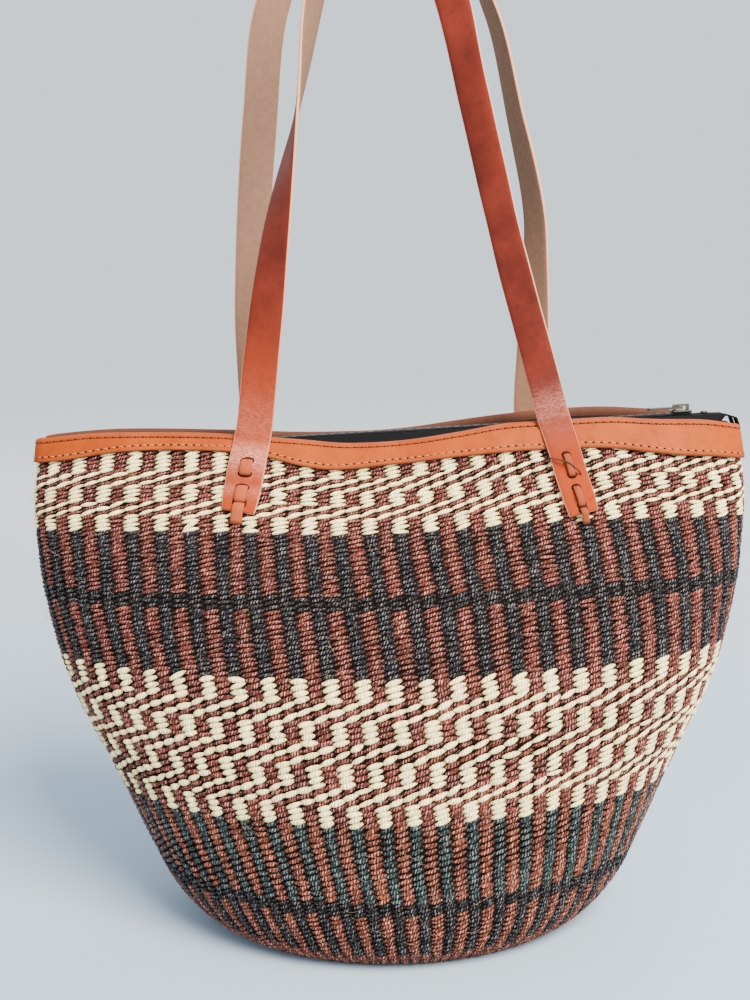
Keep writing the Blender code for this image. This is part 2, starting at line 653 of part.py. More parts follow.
def build_slider(collection, cutters):
    """Zip slider: two plates over and under the teeth, held by a thin post between the rows, and a crown."""
    turn = zip_turn()
    along, _, up = turn
    place = zip_half_length() - SLIDER_LENGTH
    centre = Vector((place, 0.0, zip_z(place)))
    over = TAPE_THICKNESS / 2 + GAP + TOOTH_THICKNESS + GAP
    under = TAPE_THICKNESS / 2 + GAP
    plate = (SLIDER_LENGTH, SLIDER_WIDTH, SLIDER_PLATE)
    top_centre = centre + up * (over + SLIDER_PLATE / 2)
    low_centre = centre - up * (under + SLIDER_PLATE / 2)
    slider = add_box("zip_slider", plate, top_centre, turn, collection, ZIP_METAL, SLIDER_ROUND)
    joined = [add_box("slider_low_plate", plate, low_centre, turn, cutters, None, SLIDER_ROUND)]
    post = (SLIDER_POST_LENGTH, SLIDER_POST, over + under + SLIDER_PLATE)
    post_place = (SLIDER_LENGTH - SLIDER_POST_LENGTH) / 2 - SLIDER_POST_SETBACK
    post_centre = centre + along * post_place + up * (over - under) / 2
    joined.append(add_box("slider_post", post, post_centre, turn, cutters))
    crown_top = over + SLIDER_PLATE + CROWN_RISE
    leg = (CROWN_LEG, CROWN_WIDTH, CROWN_RISE + SLIDER_PLATE / 2)
    for name, end in (("slider_left_leg", -1.0), ("slider_right_leg", 1.0)):
        leg_centre = centre + along * end * (SLIDER_LENGTH / 2 - CROWN_LEG) + up * (crown_top - leg[2] / 2)
        joined.append(add_box(name, leg, leg_centre, turn, cutters))
    bar = (SLIDER_LENGTH - CROWN_LEG, CROWN_WIDTH, CROWN_BAR)
    joined.append(add_box("slider_bar", bar, centre + up * (crown_top - CROWN_BAR / 2), turn, cutters))
    for piece in joined:
        add_boolean(slider, piece, "UNION")
    set_origin(slider, centre)
    return centre + up * (crown_top - CROWN_BAR)


def build_pull(bar_under, collection, cutters):
    """Zip pull: a flat tag lying along the zip, its eye round the crown and its end bar under the crown's bar."""
    turn = zip_turn()
    along, _, up = turn
    pivot = bar_under - up * (PULL_THICKNESS / 2 + GAP)
    centre = pivot - along * (PULL_LENGTH - PULL_END_BAR) / 2
    pull = add_box("zip_pull", (PULL_LENGTH, PULL_WIDTH, PULL_THICKNESS), centre, turn, collection, ZIP_METAL)
    eye = (PULL_EYE_LENGTH, CROWN_WIDTH + 2 * PULL_EYE_EASE, PULL_THICKNESS + 2 * CUT_OVERRUN)
    eye_centre = pivot - along * (PULL_END_BAR + PULL_EYE_LENGTH) / 2
    add_boolean(pull, add_box("zip_pull_eye", eye, eye_centre, turn, cutters), "DIFFERENCE")
    return set_origin(pull, pivot)


def build_stops(collection):
    """Crimped metal stops over the tapes at both ends of the teeth."""
    turn = zip_turn()
    along, _, up = turn
    size = (STOP_LENGTH, STOP_WIDTH, STOP_HEIGHT)
    middle = Vector((0.0, 0.0, zip_z(0.0))) + up * (TAPE_THICKNESS / 2 + GAP + STOP_HEIGHT / 2)
    reach = zip_half_length() + STOP_LENGTH
    for name, end in (("zip_stop_left", -1.0), ("zip_stop_right", 1.0)):
        add_box(name, size, middle + along * end * reach, turn, collection, ZIP_METAL, STOP_ROUND)


def clear_scene():
    """Removes what the file held before."""
    for thing in list(bpy.data.objects):
        bpy.data.objects.remove(thing)


def new_collection(name):
    """Collection linked to the scene."""
    collection = bpy.data.collections.new(name)
    bpy.context.scene.collection.children.link(collection)
    return collection


def main():
    """Builds the basket, its binding, zip and straps."""
    clear_scene()
    basket = new_collection("kiondo_basket")
    cutters = new_collection("cutters")
    front_strap = Strap(
        "front_strap",
        FRONT_SIGN,
        (FRONT_LEFT_PLACE, FRONT_RIGHT_PLACE),
        (FRONT_LEFT_LEAN_SHARE, FRONT_RIGHT_LEAN_SHARE),
        (FRONT_LEFT_BELOW_BINDING, FRONT_RIGHT_BELOW_BINDING),
        FRONT_LOOP_RISE,
        FRONT_ACROSS_SHARES,
        FRONT_UP_SHARES,
        FRONT_TWISTS_DEG,
    )
    rear_strap = Strap(
        "rear_strap",
        REAR_SIGN,
        (REAR_LEFT_PLACE, REAR_RIGHT_PLACE),
        (REAR_LEFT_LEAN_SHARE, REAR_RIGHT_LEAN_SHARE),
        (REAR_LEFT_BELOW_BINDING, REAR_RIGHT_BELOW_BINDING),
        REAR_LOOP_RISE,
        REAR_ACROSS_SHARES,
        REAR_UP_SHARES,
        REAR_TWISTS_DEG,
    )
    body = build_body(basket)
    for strap, half in ((front_strap, "front"), (rear_strap, "rear")):
        binding = build_binding(half + "_binding", strap.side, basket)
        for leg, line in (("_left", strap.left), ("_right", strap.right)):
            end = strap.build_end(strap.name + leg + "_end", line, basket)
            slots = slot_cutters(strap.name + leg + "_slots", line, cutters)
            for piece in (body, binding, end):
                add_boolean(piece, slots, "DIFFERENCE")
            build_lace(strap.name + leg + "_lacing", line, basket)
        strap.build_loop(basket)
        build_tape(half + "_zip_tape", strap.side, basket)
        build_teeth(half + "_zip_teeth", strap.side, basket)
    bar_under = build_slider(basket, cutters)
    build_pull(bar_under, basket, cutters)
    build_stops(basket)


main()
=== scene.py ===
"""Kiondo basket: its twined sisal, leather, zip and thread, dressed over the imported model.

Metres, +Z up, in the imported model's own frame: X runs along the mouth and the front faces -Y.
"""

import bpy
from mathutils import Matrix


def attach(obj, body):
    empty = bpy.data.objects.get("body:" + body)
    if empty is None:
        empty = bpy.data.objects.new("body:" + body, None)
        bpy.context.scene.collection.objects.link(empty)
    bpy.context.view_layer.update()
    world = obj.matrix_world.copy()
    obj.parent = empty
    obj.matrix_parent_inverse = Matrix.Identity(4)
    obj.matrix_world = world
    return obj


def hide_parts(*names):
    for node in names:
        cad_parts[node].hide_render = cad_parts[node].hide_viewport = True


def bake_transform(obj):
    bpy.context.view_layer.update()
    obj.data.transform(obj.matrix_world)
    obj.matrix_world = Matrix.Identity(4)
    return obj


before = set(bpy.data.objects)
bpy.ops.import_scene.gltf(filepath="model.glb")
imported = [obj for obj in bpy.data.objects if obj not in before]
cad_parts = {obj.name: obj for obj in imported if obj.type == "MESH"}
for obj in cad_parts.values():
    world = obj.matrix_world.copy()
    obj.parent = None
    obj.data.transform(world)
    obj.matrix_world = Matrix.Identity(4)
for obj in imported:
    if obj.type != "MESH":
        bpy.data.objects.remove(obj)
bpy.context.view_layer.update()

import logging
import math
from dataclasses import dataclass
from enum import Enum

import bpy
import numpy as np
from mathutils import Matrix, Vector

LOG = logging.getLogger("kiondo_basket")
MM = 0.001
# Type and data key of an attribute, by how many numbers a point has
ATTRIBUTES = {1: ("FLOAT", "value"), 3: ("FLOAT_VECTOR", "vector"), 4: ("FLOAT_COLOR", "color")}
NOISE_WAVES = 8
NOISE_SPREAD = 0.7


def linear(colour: str) -> tuple[float, float, float, float]:
    """Turns an sRGB hex colour to linear light.

    Args:
        colour: Six hex digits after a hash sign.

    Returns:
        Linear red, green, blue and an alpha of one.
    """
    values = np.array([int(colour[i : i + 2], 16) for i in (1, 3, 5)]) / 255
    light = np.where(values <= 0.04045, values / 12.92, ((values + 0.055) / 1.055) ** 2.4)
    return (*map(float, light), 1.0)


def smooth_curve(places: np.ndarray, values: np.ndarray, at: np.ndarray) -> np.ndarray:
    """Reads a smooth curve through given points, flat where the values turn back.

    Each stretch is a cubic with a value and a slope at both ends, and an inner slope is the mean of the two
    stretches' rises, or zero where they differ in sign.

    Args:
        places: Rising places of the points.
        values: Values at the points.
        at: Places to read.

    Returns:
        The curve's values at those places.
    """
    places = np.asarray(places, float)
    values = np.asarray(values, float)
    at = np.clip(np.asarray(at, float), places[0], places[-1])
    rise = np.diff(values) / np.diff(places)
    slopes = np.concatenate([[rise[0]], (rise[:-1] + rise[1:]) / 2, [rise[-1]]])
    turns = np.concatenate([[False], rise[:-1] * rise[1:] <= 0, [False]])
    slopes[turns] = 0.0
    index = np.clip(np.searchsorted(places, at, side="right") - 1, 0, len(places) - 2)
    width = places[index + 1] - places[index]
    t = (at - places[index]) / width
    start = (1 + 2 * t) * (1 - t) ** 2 * values[index] + t * (1 - t) ** 2 * width * slopes[index]
    end = t**2 * (3 - 2 * t) * values[index + 1] + t**2 * (t - 1) * width * slopes[index + 1]
    return start + end


def smooth_step(share: np.ndarray) -> np.ndarray:
    """Clips shares to 0 to 1 and eases both ends, as three times the square less twice the cube."""
    share = np.clip(share, 0.0, 1.0)
    return share * share * (3 - 2 * share)


def bell(distance: np.ndarray, width: float) -> np.ndarray:
    """Gives a bell curve of distance: e to the power of minus the square of distance over width."""
    return np.exp(-((distance / width) ** 2))


def signed_power(values: np.ndarray, power: float) -> np.ndarray:
    """Raises the sizes of values to a power and keeps their signs."""
    return np.sign(values) * np.abs(values) ** power


def circle(count: int) -> np.ndarray:
    """Gives even angles round a circle, from zero."""
    return 2 * math.pi * np.arange(count) / count


def unit(vectors: np.ndarray) -> np.ndarray:
    """Scales each vector to a length of one."""
    return vectors / np.maximum(np.linalg.norm(vectors, axis=-1, keepdims=True), 1e-12)


def line_run(line: np.ndarray) -> np.ndarray:
    """Gives the distance along a line of each of its points."""
    return np.concatenate([[0.0], np.cumsum(np.linalg.norm(np.diff(line, axis=0), axis=1))])


def soften(values: np.ndarray, run: np.ndarray, reach: float) -> np.ndarray:
    """Smooths vectors along a line, each a mean of its neighbours weighted by a bell curve of their distance.

    Args:
        values: One vector for each place on the line.
        run: Distance along the line of each place.
        reach: The bell curve's half width.

    Returns:
        The smoothed vectors.
    """
    weight = bell(run[:, None] - run[None, :], reach) * np.gradient(run)[None, :]
    return weight @ values / weight.sum(axis=1, keepdims=True)


def wavy_noise(seed: int, *coordinates: np.ndarray) -> np.ndarray:
    """Makes smooth seeded noise as a sum of sine waves in random directions, from about -1 to 1.

    Args:
        seed: Seed of the waves.
        coordinates: Arrays that fit one shape, in waves.

    Returns:
        Noise of that shape.
    """
    source = np.random.default_rng(seed)
    total = np.zeros(np.broadcast(*coordinates).shape)
    for _ in range(NOISE_WAVES):
        phase = source.uniform(0, 2 * math.pi)
        for coordinate in coordinates:
            phase = phase + source.normal(0.0, 2 * math.pi * NOISE_SPREAD) * coordinate
        total += np.sin(phase)
    return total / (NOISE_WAVES / 2)


def tube_axes(line: np.ndarray, away: np.ndarray) -> tuple[np.ndarray, np.ndarray]:
    """Gives two directions square to lines and to each other, the second one nearest to a given direction.

    Args:
        line: Points of one line, or of many.
        away: The given direction at each point.

    Returns:
        The two directions at each point.
    """
    tangent = unit(np.gradient(line, axis=-2))
    sideways = unit(np.cross(tangent, away))
    return sideways, np.cross(sideways, tangent)


def sweep(
    line: np.ndarray, across: np.ndarray, outward: np.ndarray, wide: np.ndarray, thick: np.ndarray
) -> np.ndarray:
    """Carries a section along lines: a point lies off the line by its offset across and its offset outwards.

    Args:
        line: Points of one line, or of many.
        across: Direction across at each point.
        outward: Direction outwards at each point.
        wide: Offsets across of the section's points.
        thick: Offsets outwards of the section's points.

    Returns:
        A ring of points for each point of the line.
    """
    moved = line[..., None, :] + across[..., None, :] * wide[..., None]
    return moved + outward[..., None, :] * thick[..., None]


def grid_quads(rows: int, columns: int) -> np.ndarray:
    """Lists the quads of rings of points, ring by ring.

    Args:
        rows: Number of rings.
        columns: Number of points in a ring.

    Returns:
        Point indices, four to a quad, facing the cross product of the directions round and on.
    """
    row = np.arange(rows - 1)[:, None] * columns
    column = np.arange(columns)[None, :]
    after = (column + 1) % columns
    quads = np.stack([row + column, row + after, row + columns + after, row + columns + column], axis=-1)
    return quads.reshape(-1, 4)


def tube_faces(rings: int, around: int) -> list[np.ndarray]:
    """Lists the faces of a closed tube: its walls, then a flat cap at each end.

    Args:
        rings: Number of rings.
        around: Number of points in a ring.

    Returns:
        Quads of the walls and the two caps.
    """
    caps = np.stack([np.arange(around)[::-1], (rings - 1) * around + np.arange(around)])
    return [grid_quads(rings, around), caps]


def spindle_faces(rings: int, around: int) -> list[np.ndarray]:
    """Lists the faces of rings that close to a tip at each end; the two tips follow the rings' points.

    Args:
        rings: Number of rings.
        around: Number of points in a ring.

    Returns:
        Quads of the walls, and triangles from the tips to the first and the last ring.
    """
    first = np.arange(around)
    last = (rings - 1) * around + first
    tip = np.full(around, rings * around)
    ends = [(tip, np.roll(first, -1), first), (tip + 1, last, np.roll(last, -1))]
    return [grid_quads(rings, around), np.concatenate([np.stack(end, axis=-1) for end in ends])]


def turned(faces: list[np.ndarray]) -> list[np.ndarray]:
    """Turns faces over, by the order of their corners."""
    return [part[:, ::-1] for part in faces]


def repeated(faces: list[np.ndarray], points: int, count: int) -> list[np.ndarray]:
    """Lists the faces of many like bodies.

    Args:
        faces: Arrays of one body's point indices.
        points: Number of points in a body.
        count: Number of bodies.

    Returns:
        Arrays of all the bodies' point indices, body after body.
    """
    first = points * np.arange(count)[:, None, None]
    return [(first + part).reshape(-1, part.shape[1]) for part in faces]


def make_piece(
    name: str, points: np.ndarray, faces: list[np.ndarray], material: bpy.types.Material, **values: np.ndarray
) -> bpy.types.Object:
    """Makes a smooth-shaded object at the origin from arrays of points and faces.

    Args:
        name: The object's name.
        points: Places of the points, any shape ending in three.
        faces: Arrays of point indices, each with one corner count.
        material: Its finish.
        values: A number, vector or colour for each point, under the name that the finish reads.

    Returns:
        The new object, linked to the scene.
    """
    points = np.asarray(points, np.float32).reshape(-1, 3)
    corners = np.concatenate([part.ravel() for part in faces]).astype(np.int32)
    counts = np.concatenate([np.full(len(part), part.shape[1]) for part in faces])
    mesh = bpy.data.meshes.new(name)
    mesh.vertices.add(len(points))
    mesh.vertices.foreach_set("co", points.ravel())
    mesh.loops.add(len(corners))
    mesh.loops.foreach_set("vertex_index", corners)
    mesh.polygons.add(len(counts))
    mesh.polygons.foreach_set("loop_start", np.concatenate([[0], np.cumsum(counts)[:-1]]).astype(np.int32))
    mesh.update(calc_edges=True)
    mesh.shade_smooth()
    for key, value in values.items():
        numbers = np.asarray(value, np.float32).ravel()
        kind, slot = ATTRIBUTES[len(numbers) // len(points)]
        mesh.attributes.new(key, kind, "POINT").data.foreach_set(slot, numbers)
    mesh.materials.append(material)
    piece = bpy.data.objects.new(name, mesh)
    bpy.context.scene.collection.objects.link(piece)
    return piece


def plug(node: bpy.types.Node, inputs: dict | tuple) -> None:
    """Links or sets inputs of a node.

    Args:
        node: The node.
        inputs: Socket to link, or value to set, for each input name or number, or for the inputs in order.
    """
    named = inputs if isinstance(inputs, dict) else dict(enumerate(inputs))
    for key, source in named.items():
        if isinstance(source, bpy.types.NodeSocket):
            node.id_data.links.new(source, node.inputs[key])
        else:
            node.inputs[key].default_value = source


def add_node(
    tree: bpy.types.NodeTree, kind: str, inputs: dict | tuple = (), out: str | int = 0, **settings: object
) -> bpy.types.NodeSocket:
    """Adds one shader node with its settings and links.

    Args:
        tree: The material's node tree.
        kind: Blender's name of the node's type, less the ShaderNode before it.
        inputs: Its inputs, as plug reads them.
        out: Name or number of the output to give.
        settings: Attributes of the node.

    Returns:
        The new node's output.
    """
    node = tree.nodes.new("ShaderNode" + kind)
    for name, value in settings.items():
        setattr(node, name, value)
    plug(node, inputs)
    return node.outputs[out]


def new_finish(name: str) -> tuple[bpy.types.Material, bpy.types.NodeTree, bpy.types.Node]:
    """Starts a material.

    Args:
        name: The material's name.

    Returns:
        The material, its node tree and its Principled shader.
    """
    material = bpy.data.materials.new(name)
    material.use_nodes = True
    return material, material.node_tree, material.node_tree.nodes["Principled BSDF"]


class Side(Enum):
    """Front or rear half of the basket, by the sign of its y."""

    FRONT = -1.0
    REAR = 1.0

    @property
    def word(self) -> str:
        """Gives the word that the names of the half's pieces start with."""
        return self.name.lower()


@dataclass(frozen=True)
class BasketForm:
    """The body's outer face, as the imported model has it."""

    height: float = 0.286
    half_width: float = 0.202
    half_depth: float = 0.094
    wall: float = 0.0042
    floor: float = 0.005
    rim_wave: float = 0.006
    wave_fade_power: int = 4
    quadrant_samples: int = 1200
    lift_rounds: int = 4
    height_shares: tuple = (0.0, 0.03, 0.09, 0.18, 0.32, 0.50, 0.68, 0.84, 1.0)
    width_shares: tuple = (0.530, 0.590, 0.665, 0.728, 0.812, 0.928, 0.988, 1.0, 0.972)
    depth_shares: tuple = (0.760, 0.860, 0.940, 0.985, 1.0, 0.915, 0.730, 0.480, 0.240)
    powers: tuple = (2.0, 2.0, 2.0, 2.0, 2.0, 2.1, 2.4, 3.4, 6.0)
    wave_places: tuple = (-1.0, -0.8, -0.5, -0.25, -0.1, 0.05, 0.2, 0.33, 0.47, 0.62, 0.75, 0.9, 1.0)
    front_wave: tuple = (0.0, 0.5, 0.28, -0.47, -0.92, -0.73, -0.08, 0.6, 0.8, 0.97, 0.7, 0.5, 0.0)
    rear_wave: tuple = (0.0, 0.3, 0.0, -0.4, -0.42, -0.2, 0.4, 0.9, 1.3, 1.5, 1.3, 0.8, 0.0)

    def section(self, share: np.ndarray) -> tuple[np.ndarray, np.ndarray, np.ndarray]:
        """Gives the half width, half depth and squareness at shares of the height."""
        rows = (self.width_shares, self.depth_shares, self.powers)
        width, depth, power = (smooth_curve(self.height_shares, row, share) for row in rows)
        return self.half_width * width, self.half_depth * depth, power

    def lift(self, x: np.ndarray, side: np.ndarray, share: np.ndarray) -> np.ndarray:
        """Gives how far the mouth's wave raises the wall, fading as the fourth power of the height share.

        Args:
            x: Places along the mouth.
            side: From -1 at the front to 1 at the rear.
            share: Shares of the height.

        Returns:
            Heights in metres.
        """
        place = np.asarray(x) / self.section(1.0)[0]
        waves = (self.front_wave, self.rear_wave)
        front, rear = (smooth_curve(self.wave_places, wave, place) for wave in waves)
        to_rear = np.clip(0.5 + 0.5 * np.asarray(side), 0.0, 1.0)
        faded = np.clip(share, 0.0, 1.0) ** self.wave_fade_power
        return self.rim_wave * (front * (1 - to_rear) + rear * to_rear) * faded

    def ring(self, share: float, fractions: np.ndarray) -> np.ndarray:
        """Gives points of the outer face at one height share, at equal-length fractions of its edge.

        Each quarter of a superellipse is sampled by angle, measured, and read at even lengths.

        Args:
            share: Share of the height.
            fractions: Fractions of the edge, counted from +X towards +Y.

        Returns:
            One point for each fraction.
        """
        half_width, half_depth, power = self.section(share)
        angle = np.linspace(0.0, math.pi / 2, self.quadrant_samples)
        reach = np.abs(np.cos(angle) / half_width) ** power
        reach = (reach + np.abs(np.sin(angle) / half_depth) ** power) ** (-1 / power)
        quadrant = reach[:, None] * np.stack([np.cos(angle), np.sin(angle)], axis=-1)
        run = line_run(quadrant)
        fractions = np.asarray(fractions) % 1.0
        quarter = np.minimum((fractions * 4).astype(int), 3)
        within = fractions * 4 - quarter
        within = np.where(quarter % 2 == 1, 1 - within, within) * run[-1]
        px = np.where((quarter == 0) | (quarter == 3), 1.0, -1.0) * np.interp(within, run, quadrant[:, 0])
        py = np.where(quarter < 2, 1.0, -1.0) * np.interp(within, run, quadrant[:, 1])
        pz = share * self.height + self.lift(px, py / half_depth, share)
        return np.stack([px, py, pz], axis=-1)

    def wall_y(self, x: np.ndarray, z: np.ndarray, inset: np.ndarray, side: float) -> np.ndarray:
        """Gives y of the wall's face at x and z on one side, moved in by an inset.

        The share of a height is found in a few rounds, because the mouth's lift depends on it.

        Args:
            x: Places along the mouth.
            z: Heights.
            inset: How far the face is moved in.
            side: -1 at the front, 1 at the rear.

        Returns:
            Places in y.
        """
        share = np.asarray(z) / self.height
        for _ in range(self.lift_rounds):
            share = (z - self.lift(x, side, share)) / self.height
        half_width, half_depth, power = self.section(share)
        across = np.clip(np.abs(x) / (half_width - inset), 0.0, 1.0)
        return side * (half_depth - inset) * (1 - across**power) ** (1 / power)

    def mouth_z(self, x: float, side: float) -> float:
        """Gives the height of the woven edge at x."""
        return float(self.height + self.lift(x, side, 1.0))


class WallSurface:
    """The whole outer face with its normals, read at any place.

    A level from 0 to 1 is a share of the wall's height, above 1 it goes straight up, and from -1 to 0 it runs
    over the flat base from its middle to its edge. A fraction is a share of the edge, from +X towards +Y.
    """

    COLUMNS = 1440
    BASE_LEVELS = 60
    WALL_LEVELS = 300
    TOP_LEVEL = 1.03

    def __init__(self, form: BasketForm) -> None:
        """Samples the surface on a grid of levels and fractions, with normals from its two directions.

        Args:
            form: The body's form.
        """
        self.form = form
        base = np.linspace(-1.0, 0.0, self.BASE_LEVELS, endpoint=False)
        wall = np.linspace(0.0, self.TOP_LEVEL, self.WALL_LEVELS)
        self.levels = np.concatenate([base, wall])
        fractions = np.arange(self.COLUMNS) / self.COLUMNS
        edge = form.ring(0.0, fractions)
        rings = [edge * (1 + level) for level in base] + [form.ring(level, fractions) for level in wall]
        self.points = np.stack(rings)
        around = np.roll(self.points, -1, axis=1) - np.roll(self.points, 1, axis=1)
        up = np.gradient(self.points, self.levels, axis=0)
        normals = np.cross(around, up)
        normals[0] = (0.0, 0.0, -1.0)
        self.normals = unit(normals)
        self.edge_lengths = np.linalg.norm(around, axis=-1).sum(axis=1) / 2
        self.rises = np.linalg.norm(up, axis=-1)

    def read(self, values: np.ndarray, fraction: np.ndarray, level: np.ndarray) -> np.ndarray:
        """Reads values of the grid by linear interpolation in both directions.

        Args:
            values: One value or vector for each level and column of the grid.
            fraction: Fractions of the edge.
            level: Levels.

        Returns:
            A value or vector for each place.
        """
        row = np.interp(level, self.levels, np.arange(len(self.levels)))
        low = np.clip(row.astype(int), 0, len(self.levels) - 2)
        up = row - low
        column = (fraction % 1.0) * self.COLUMNS
        left = column.astype(int) % self.COLUMNS
        right = (left + 1) % self.COLUMNS
        along = column - np.floor(column)
        if values.ndim == 3:
            up = up[..., None]
            along = along[..., None]
        near = values[low, left] * (1 - along) + values[low, right] * along
        far = values[low + 1, left] * (1 - along) + values[low + 1, right] * along
        return near * (1 - up) + far * up

    def at(self, fraction: np.ndarray, level: np.ndarray, height: np.ndarray) -> np.ndarray:
        """Gives points over the surface, by linear interpolation between the grid's points and normals.

        Args:
            fraction: Fractions of the edge.
            level: Levels.
            height: Heights over the surface, outwards.

        Returns:
            The points.
        """
        fraction, level, height = np.broadcast_arrays(fraction, level, height)
        normal = unit(self.read(self.normals, fraction, level))
        return self.read(self.points, fraction, level) + normal * height[..., None]

    def edge_length(self, level: np.ndarray) -> np.ndarray:
        """Gives the length of the edge at levels."""
        return np.interp(level, self.levels, self.edge_lengths)

    def rise(self, fraction: np.ndarray, level: np.ndarray) -> np.ndarray:
        """Gives how many metres of wall one unit of level covers at places."""
        return self.read(self.rises, *np.broadcast_arrays(fraction, level))


@dataclass(frozen=True)
class SisalStrand:
    """Sisal twisted by hand, each pair of values for undyed and for dyed strands.

    Its hard fibres get painted glints along the twist where dyed, and painted shade in the hollows between
    them, deep where dyed and mild where they keep their own waxy cream. Lengths are in millimetres, as the
    stitches' own coordinates are.
    """

    name: str = "twisted_sisal"
    ply_pitch: float = 1.7
    plies: float = 2.0
    ply_range: tuple = (-1.0, 0.6)
    ply_weight: float = 0.42
    girth: float = 5.6
    fibre_length: float = 2.6
    fibre_width: float = 0.75
    fibre_range: tuple = (0.38, 0.66)
    fibre_weight: float = 0.72
    # Painted shade and highlight: the plies and fibres scale the colour from darkest to brightest, and
    # painted glints are added to dyed strands
    shade_range: tuple = (0.1, 1.08)
    darkest: tuple = (0.45, 0.16)
    brightest: float = 1.8
    glint_range: tuple = (0.68, 1.12)
    glint_light: tuple = (0.25, 0.205, 0.195)
    own_glint: float = 3.0
    specular: float = 0.12
    roughness: tuple = (0.5, 0.62)
    relief: tuple = (0.75, 1.0)
    bump_depth: float = 0.26 * MM

    def build(self) -> bpy.types.Material:
        """Builds the material; it reads strand_colour_and_shade, dyed, reach and strand_place.

        A place holds millimetres along, turns round and a number of its own for each stitch. Plies are a sine
        of the turns on a slanting line, and fibres are a noise stretched along that slant. Their sum paints
        shade and highlight into the colour, paints glints on dyed strands where reach, the stitch's painted
        shade, lets them, and raises the bump.

        Returns:
            The material.
        """
        material, tree, shader = new_finish(self.name)
        colour = add_node(tree, "Attribute", out="Color", attribute_name="strand_colour_and_shade")
        place = add_node(tree, "Attribute", out="Vector", attribute_name="strand_place")
        # reach is the stitch's painted shade squared, and keeps painted glints off its shaded points
        names = ("dyed", "reach")
        dyed, reach = (add_node(tree, "Attribute", out="Fac", attribute_name=name) for name in names)
        along, turn, own = add_node(tree, "SeparateXYZ", (place,)).node.outputs
        twist = add_node(tree, "Math", (turn, self.plies), operation="MULTIPLY")
        phase = add_node(tree, "Math", (along, 1 / self.ply_pitch, twist), operation="MULTIPLY_ADD")
        angle = add_node(tree, "Math", (phase, 2 * math.pi), operation="MULTIPLY")
        wave = add_node(tree, "Math", (angle,), operation="SINE")
        ply = add_node(tree, "MapRange", (wave, *self.ply_range))
        around = add_node(tree, "Math", (turn, self.girth), operation="MULTIPLY")
        lengthwise = add_node(tree, "Math", (along, around), operation="SUBTRACT")
        crosswise = add_node(tree, "Math", (along, around), operation="ADD")
        slanted = add_node(tree, "CombineXYZ", (lengthwise, crosswise, own))
        scale = (1 / self.fibre_length, 1 / self.fibre_width, 1.0)
        drawn = add_node(tree, "Mapping", {"Vector": slanted, "Scale": scale})
        noise = add_node(tree, "TexNoise", {"Vector": drawn, "Scale": 1.0, "Detail": 2.0, "Roughness": 0.6})
        fibres = add_node(tree, "MapRange", (noise, *self.fibre_range))
        raised = add_node(tree, "Math", (ply, self.ply_weight), operation="MULTIPLY")
        relief = add_node(tree, "Math", (fibres, self.fibre_weight, raised), operation="MULTIPLY_ADD")
        pairs = (self.darkest, self.roughness, self.relief)
        darkest, rough, depth = (add_node(tree, "MapRange", (dyed, 0.0, 1.0, *pair)) for pair in pairs)
        # Painted shade in the hollows between plies, and painted highlight on the fibres
        shade = add_node(tree, "MapRange", (relief, *self.shade_range, darkest, self.brightest))
        tone = add_node(tree, "VectorMath", {0: colour, "Scale": shade}, operation="SCALE")
        # Painted glints, added to the colour of dyed strands where reach lets them
        lit = add_node(tree, "MapRange", (relief, *self.glint_range))
        for share in (dyed, reach):
            lit = add_node(tree, "Math", (lit, share), operation="MULTIPLY")
        own_light = add_node(tree, "VectorMath", {0: colour, "Scale": self.own_glint}, operation="SCALE")
        glint = add_node(tree, "VectorMath", (own_light, self.glint_light), operation="ADD")
        painted_glint = add_node(tree, "VectorMath", {0: glint, "Scale": lit}, operation="SCALE")
        tone_with_painted_glints = add_node(tree, "VectorMath", (tone, painted_glint), operation="ADD")
        height = add_node(tree, "Math", (relief, depth), operation="MULTIPLY")
        bump = add_node(tree, "Bump", {"Height": height, "Strength": 0.9, "Distance": self.bump_depth})
        plug(shader, {"Base Color": tone_with_painted_glints, "Roughness": rough, "Normal": bump})
        plug(shader, {"Specular IOR Level": self.specular})
        return material


@dataclass(frozen=True)
class WovenGround:
    """The sisal between and behind the stitches, dull and without a glint, since little light gets there.

    Outside it shows as shaded hollows, painted near black, and inside as the ribs of the weave, with painted
    shade in their hollows.
    """

    name: str = "sisal_ground"
    roughness: float = 0.85
    specular: float = 0.05
    # Painted shade of the ribs, from their hollows to their crests
    shades: tuple = (0.35, 1.1)
    rib_depth: float = 0.9 * MM

    def build(self) -> bpy.types.Material:
        """Builds the material; it reads ground_colour and weave_place (columns, rows).

        The ribs are the product of a sine along the columns and one along the rows, without their signs. They
        paint shade into the colour and raise the bump.

        Returns:
            The material.
        """
        material, tree, shader = new_finish(self.name)
        colour = add_node(tree, "Attribute", out="Color", attribute_name="ground_colour")
        place = add_node(tree, "Attribute", out="Vector", attribute_name="weave_place")
        relief = 1.0
        for coordinate in add_node(tree, "SeparateXYZ", (place,)).node.outputs[:2]:
            angle = add_node(tree, "Math", (coordinate, math.pi), operation="MULTIPLY")
            wave = add_node(tree, "Math", (angle,), operation="SINE")
            rib = add_node(tree, "Math", (wave,), operation="ABSOLUTE")
            relief = add_node(tree, "Math", (rib, relief), operation="MULTIPLY")
        # Painted shade in the ribs' hollows
        shade = add_node(tree, "MapRange", (relief, 0.0, 1.0, *self.shades))
        tone = add_node(tree, "VectorMath", {0: colour, "Scale": shade}, operation="SCALE")
        bump = add_node(tree, "Bump", {"Height": relief, "Strength": 0.8, "Distance": self.rib_depth})
        plug(shader, {"Base Color": tone, "Normal": bump, "Roughness": self.roughness})
        plug(shader, {"Specular IOR Level": self.specular})
        return material


